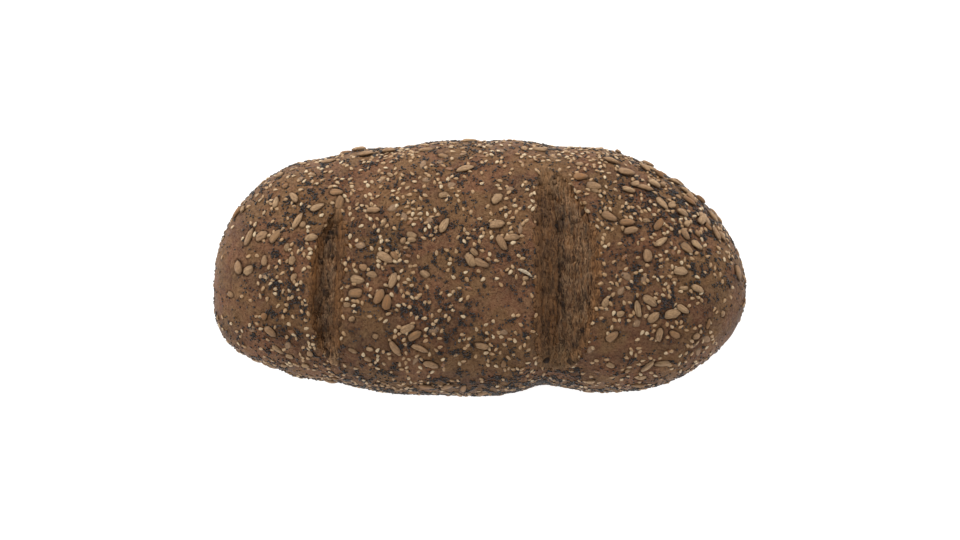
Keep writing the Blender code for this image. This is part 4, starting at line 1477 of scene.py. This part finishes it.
class LOAF_OT_kernels(bpy.types.Operator):
    """Lay the sunflower kernels, the pale grain flakes and the linseeds on the crust"""
    bl_idname = "loaf.kernels"
    bl_label = "Sunflower kernels"

    def execute(self, context):
        settings = context.scene.loaf_seeds
        crust = made_piece("loaf_crust")
        draw, shape_draw = random.Random(SEED_DRAW), random.Random(SEED_DRAW + 1)
        lookup = search_tree(crust.data)
        places = marked_places(lookup, MARKED_KERNELS)
        add_kernels(places, lookup, settings.kernel_count, KERNEL_SPACING, KERNEL_STEEPEST, draw)
        marked, whole = len(MARKED_KERNELS), len(places)
        places += marked_places(lookup, MARKED_BITS)
        add_kernels(places, lookup, whole + BIT_COUNT, BIT_SPACING, BIT_STEEPEST, draw)
        sizes, prouds = [], []
        for group, spreads, proud in (
            (places[:marked], MARKED_SPREAD, MARKED_PROUD),
            (places[marked:whole], KERNEL_SPREAD, KERNEL_PROUD),
            (places[whole:], BIT_SPREAD, BIT_PROUD),
        ):
            sizes += [
                [side * shape_draw.uniform(*spread) for side, spread in zip(KERNEL_SIZE, spreads)]
                for _ in group
            ]
            for point, _, _ in group:
                piled = PILED_LIFT * in_a_patch(point.x, point.y, PILED_PATCHES)
                prouds.append(shape_draw.uniform(*proud) + piled)
        press_in(crust, places, sizes)
        shapes = [
            drop_shape(f"kernel_shape_{i}", 14, 10, shape_draw.uniform(0.04, 0.34),
                       shape_draw.uniform(0.0, 0.12), 0.15, shape_draw, 0.28) for i in range(12)
        ]
        coat = grained_seed("toasted_sunflower_kernel", (
            settings.kernel_grey, settings.kernel, settings.kernel_orange,
            context.scene.loaf_crust.light,
        ), 0.6, 0.7, 0.3)
        lay_seeds("sunflower_kernels", places, sizes, prouds, shapes, coat, shape_draw)

        lookup = search_tree(crust.data)
        for name, marks, count, length, shares, proud, shape, coat in (
            ("grain_flakes", MARKED_FLAKES, FLAKE_COUNT, settings.flake_length, FLAKE_SHARES,
             FLAKE_PROUD, (12, 8, 0.10, 0.05, 0.25),
             grained_seed("pale_grain_flake", (settings.flake,) * 4, 0.6, 0.3, 0.2)),
            ("linseeds", MARKED_LINSEEDS, LINSEED_COUNT, settings.linseed_length, LINSEED_SHARES,
             LINSEED_PROUD, (10, 7, 0.22, 0.30, 0.04),
             grained_seed("linseed_coat", (settings.linseed,) * 4, 0.28, 0.15)),
        ):
            spread = spread_places(lookup, marks, count, places, shape_draw)
            sizes = [[side * length * shape_draw.uniform(0.75, 1.15) for side in shares]
                     for _ in spread]
            prouds = [shape_draw.uniform(*proud) for _ in spread]
            shapes = [drop_shape(f"{name}_shape_{i}", *shape, shape_draw) for i in range(8)]
            lay_seeds(name, spread, sizes, prouds, shapes, coat, shape_draw)
            places += spread
        return {"FINISHED"}


class LOAF_OT_fine_seeds(bpy.types.Operator):
    """Scatter sesame and poppy seeds over the loaf, and loose crumbs in its cuts"""
    bl_idname = "loaf.fine_seeds"
    bl_label = "Fine seeds"

    def execute(self, context):
        settings, colours = context.scene.loaf_seeds, context.scene.loaf_crust
        bed, tree, draw = seed_bed(), scatter_tree(), random.Random(SEED_DRAW + 2)
        toasted, golden = settings.sesame_toasted, colours.golden
        for number, (name, shape, length, shares, values) in enumerate((
            ("sesame_seeds", (8, 6, 0.30, 0.10, 0.06), settings.sesame_length, SESAME_SHARES, {
                "Material": grained_seed(
                    "toasted_sesame", (settings.sesame, toasted, toasted, toasted), 0.45, 0.2
                ),
                "Density": settings.sesame_density / CM2, "Spacing": 2.05 * MM,
                "Cluster size": 9 * MM, "Cluster low": 0.36, "Cluster high": 0.56,
                "Share name": "sesame_share", "Stray share": 0.15,
                "Proud": 0.30, "Sinking": 0.32, "Tilt": 0.22,
            }),
            ("poppy_seeds", (4, 3, 0.05, 0.0, 0.06), settings.poppy_length, POPPY_SHARES, {
                "Material": poppy_material(settings),
                "Density": settings.poppy_density / CM2, "Spacing": 0.62 * MM,
                "Cluster size": POPPY_CLUSTER, "Cluster low": 0.52, "Cluster high": 0.64,
                "Share name": "poppy_share", "Stray share": 0.03, "Share gain": 4.0,
                "Crowding": 0.15, "Proud": 0.30, "Sinking": 0.30, "Tilt": 0.6,
            }),
            ("crumb_flakes", (6, 4, 0.10, 0.05, 0.30), settings.crumb_flake_length, CRUMB_SHARES, {
                "Material": grained_seed("loose_rye_crumb", (
                    colours.crumb, golden, golden, colours.crumb_shade,
                ), 0.8, 0.4, 0.1),
                "Density": settings.crumb_flake_density / CM2, "Spacing": 0.8 * MM,
                "Cluster size": 6 * MM, "Cluster low": 0.40, "Cluster high": 0.60,
                "Share name": "crumbly", "Stray share": 0.12, "Proud": 0.25, "Tilt": 0.6,
            }),
        ), 1):
            shapes = [drop_shape(f"{name}_shape_{i}", *shape, draw) for i in range(8)]
            size = [side * length for side in shares]
            lay_shapes(name, bed, tree, shapes, {"Size": size, "Seed": number, **values})
        return {"FINISHED"}


# ---------------------------------------------------------------------------------------------
# Fibres of the crumb
# ---------------------------------------------------------------------------------------------

def fibre_carrier(count, bed, draw):
    """Fine wandering lines along the torn crumb and over its lips, with a radius at each point."""
    points, edges, radii = [], [], []
    areas = [cut["width"] * cut["half_length"] for cut in CUTS]
    while len(radii) < count * FIBRE_POINTS:
        cut = draw.choices(CUTS, weights=areas)[0]
        start_y = cut["middle"] + draw.uniform(-1.05, 1.05) * cut["half_length"]
        start_x = draw.uniform(*resting_lips(cut))
        length, heading = draw.uniform(*FIBRE_LENGTH), draw.gauss(0.0, FIBRE_TURN)
        sway, waves = draw.uniform(*FIBRE_SWAY), draw.uniform(*FIBRE_WAVES)
        phase, thickest = draw.uniform(0, 2 * math.pi), draw.uniform(*FIBRE_RADIUS)
        steps = np.linspace(0.0, 1.0, FIBRE_POINTS)
        run, swing = (steps - 0.5) * length, sway * np.sin(waves * steps + phase)
        x = start_x + math.sin(heading) * run + math.cos(heading) * swing
        y = start_y + math.cos(heading) * run - math.sin(heading) * swing
        if (lip_reach(cut, x, y) + near_ends(cut, x, y, FIBRE_OVERHANG)).min() < 0.0:
            continue
        first = len(points)
        ground = [ground_height(bed, px, py) for px, py in zip(x, y)]
        eased = np.convolve(np.pad(ground, 1, mode="edge"), (0.3, 0.4, 0.3), mode="valid")
        height = np.maximum(ground, eased) + FIBRE_LIFT
        points += list(zip(x.tolist(), y.tolist(), height.tolist()))
        radii += (thickest * (0.25 + 0.75 * np.sin(math.pi * steps))).tolist()
        edges += [(i, i + 1) for i in range(first, len(points) - 1)]
    tints = [draw.random() for _ in range(len(radii) // FIBRE_POINTS)]
    return new_mesh("fibre_carrier", points, edges, shares={
        "radius": radii, "tint": np.repeat(tints, FIBRE_POINTS),
    })


def fibre_tree():
    """Turns every line into a thin round fibre that tapers to both ends."""
    tree, node, given = new_tree("fibres", [("Sides", "Int", 4), ("Material", "Material", None)])
    end_tree(node, given, node("GeometryNodeCurveToMesh", {
        "Curve": node("GeometryNodeMeshToCurve", given["Geometry"]),
        "Profile Curve": node("GeometryNodeCurvePrimitiveCircle", {
            "Resolution": given["Sides"], "Radius": 1.0,
        }),
        "Scale": node("attribute", "radius"), "Fill Caps": True,
    }))
    return tree


def crumb_fibre(settings):
    """Dried threads of crumb: matt, paler or darker from one to the next."""
    material, node, shader = new_material("dry_crumb_fibre")
    patch = node("noise", node("object place"), 1 / (3 * MM), 3.0, SOFT)
    fill_inputs(shader, {"Roughness": 0.7, "Specular IOR Level": 0.2, "Base Color": lay_over(
        node, settings.crumb_shade, [
            (node("share", "tint"), 1.0, settings.thread),
            (node("range", patch, 0.50, 0.75), 1.0, settings.golden),
        ],
    )})
    return material


class LOAF_OT_fibres(bpy.types.Operator):
    """Lay loose crumb fibres along the two cuts"""
    bl_idname = "loaf.fibres"
    bl_label = "Crumb fibres"

    def execute(self, context):
        bed, draw = search_tree(seed_bed()), random.Random(SEED_DRAW + 3)
        carrier = fibre_carrier(context.scene.loaf_seeds.fibre_count, bed, draw)
        run_tree("torn_fibres", carrier, fibre_tree(), {
            "Sides": 3, "Material": crumb_fibre(context.scene.loaf_crust),
        })
        return {"FINISHED"}


class LOAF_OT_husk(bpy.types.Operator):
    """Lay the one pale husk that lies beside the right cut"""
    bl_idname = "loaf.husk"
    bl_label = "Husk"

    def execute(self, context):
        lookup = search_tree(made_piece("loaf_crust").data)
        bm = bmesh.new()
        bmesh.ops.create_grid(bm, x_segments=14, y_segments=4, size=0.5)
        middle_x, middle_y = HUSK_PLACE
        for vert in bm.verts:
            along, across = 2 * vert.co.x, 2 * vert.co.y
            width = HUSK_SIZE[1] / 2 * math.sqrt(max(1.0 - 0.96 * along ** 2, 0.0))
            bend = HUSK_BEND * (1.0 - along ** 2)
            x = middle_x + HUSK_SIZE[0] / 2 * along + 0.4 * bend
            y = middle_y + across * width + bend - HUSK_SLANT * HUSK_SIZE[0] * along
            hollow = HUSK_HOLLOW * (1.0 - across ** 2)
            vert.co = (x, y, ground_height(lookup, x, y) + HUSK_LIFT + hollow)
        husk = in_scene("pale_husk", mesh_of("pale_husk", bm))
        husk.data.materials.append(husk_material())
        thicken(husk, HUSK_THICKNESS)
        finish_piece(husk)
        return {"FINISHED"}


def husk_material():
    """Dry bran husk: pale, matt and streaked grey."""
    material, node, shader = new_material("dry_bran_husk")
    patch = node("noise", node("object place"), 1 / (1.2 * MM), 3.0, SOFT)
    grey = node("range", patch, 0.4, 0.65)
    colour = node("mix", grey, from_hex("#b9a88e"), from_hex("#8d7a62"))
    fill_inputs(shader, {"Base Color": colour, "Roughness": 0.6})
    return material


# ---------------------------------------------------------------------------------------------
# Stage
# ---------------------------------------------------------------------------------------------

def softbox(name, place, size, power):
    """A wide, even studio light that faces the loaf."""
    lamp = bpy.data.lights.new(name, "AREA")
    lamp.shape = "RECTANGLE"
    lamp.size, lamp.size_y = size
    lamp.energy = power
    holder = in_scene(name, lamp)
    holder.location = place
    toward = Vector(LIGHTS_AIM) - holder.location
    holder.rotation_euler = toward.to_track_quat("-Z", "Y").to_euler()


def white_table():
    """Matt white laminate that glows a little, as a lit table does, so its shadows stay faint."""
    material, _, shader = new_material("matt_white_laminate")
    fill_inputs(shader, {
        "Base Color": (0.55, 0.55, 0.55, 1.0), "Roughness": 0.9, "Specular IOR Level": 0.1,
        "Emission Color": WHITE, "Emission Strength": TABLE_GLOW,
    })
    return material


class LOAF_OT_stage(bpy.types.Operator):
    """Set the white table, the soft lights and the camera straight above the loaf"""
    bl_idname = "loaf.stage"
    bl_label = "Stage"

    def execute(self, context):
        scene = context.scene
        bm = bmesh.new()
        bmesh.ops.create_grid(bm, x_segments=1, y_segments=1, size=TABLE_SIZE / 2)
        table = in_scene("table_top", mesh_of("table_top", bm))
        table.data.materials.append(white_table())
        table.location.z = -TABLE_GAP

        for light in SOFTBOXES:
            softbox(*light)

        world = bpy.data.worlds.new("white_tent")
        scene.world = world
        world.use_nodes = True
        background = world.node_tree.nodes["Background"]
        fill_inputs(background, {"Color": WHITE, "Strength": TENT_LIGHT})

        camera = bpy.data.cameras.new("overhead_camera")
        camera.sensor_width = SENSOR_WIDTH
        camera.lens = SENSOR_WIDTH * CAMERA_DISTANCE / FRAME_WIDTH
        camera.clip_end = 20.0
        holder = in_scene("overhead_camera", camera)
        holder.location = CAMERA_PLACE
        scene.camera = holder
        scene.view_settings.view_transform = "Standard"
        return {"FINISHED"}


class LOAF_PT_panel(bpy.types.Panel):
    """Lists the loaf's operators and settings"""
    bl_label = "Seeded loaf"
    bl_idname = "LOAF_PT_panel"
    bl_space_type = "VIEW_3D"
    bl_region_type = "UI"
    bl_category = "Loaf"

    def draw(self, context):
        for settings, operators in (
            (context.scene.loaf_crust, ("loaf.crust", "loaf.crumb")),
            (context.scene.loaf_seeds,
             ("loaf.kernels", "loaf.fine_seeds", "loaf.fibres", "loaf.husk")),
        ):
            for name in settings.__annotations__:
                self.layout.prop(settings, name)
            for operator in operators:
                self.layout.operator(operator)
        self.layout.operator("loaf.stage")


CLASSES = (
    LoafCrustSettings,
    LoafSeedSettings,
    LOAF_OT_crust,
    LOAF_OT_crumb,
    LOAF_OT_kernels,
    LOAF_OT_fine_seeds,
    LOAF_OT_fibres,
    LOAF_OT_husk,
    LOAF_OT_stage,
    LOAF_PT_panel,
)


def register():
    for cls in CLASSES:
        bpy.utils.register_class(cls)
    bpy.types.Scene.loaf_crust = PointerProperty(type=LoafCrustSettings)
    bpy.types.Scene.loaf_seeds = PointerProperty(type=LoafSeedSettings)


def unregister():
    del bpy.types.Scene.loaf_seeds
    del bpy.types.Scene.loaf_crust
    for cls in reversed(CLASSES):
        bpy.utils.unregister_class(cls)


def main():
    register()
    bpy.ops.loaf.crust()
    bpy.ops.loaf.crumb()
    bpy.ops.loaf.kernels()
    bpy.ops.loaf.fine_seeds()
    bpy.ops.loaf.fibres()
    bpy.ops.loaf.husk()
    bpy.ops.loaf.stage()


if __name__ == "__main__":
    main()
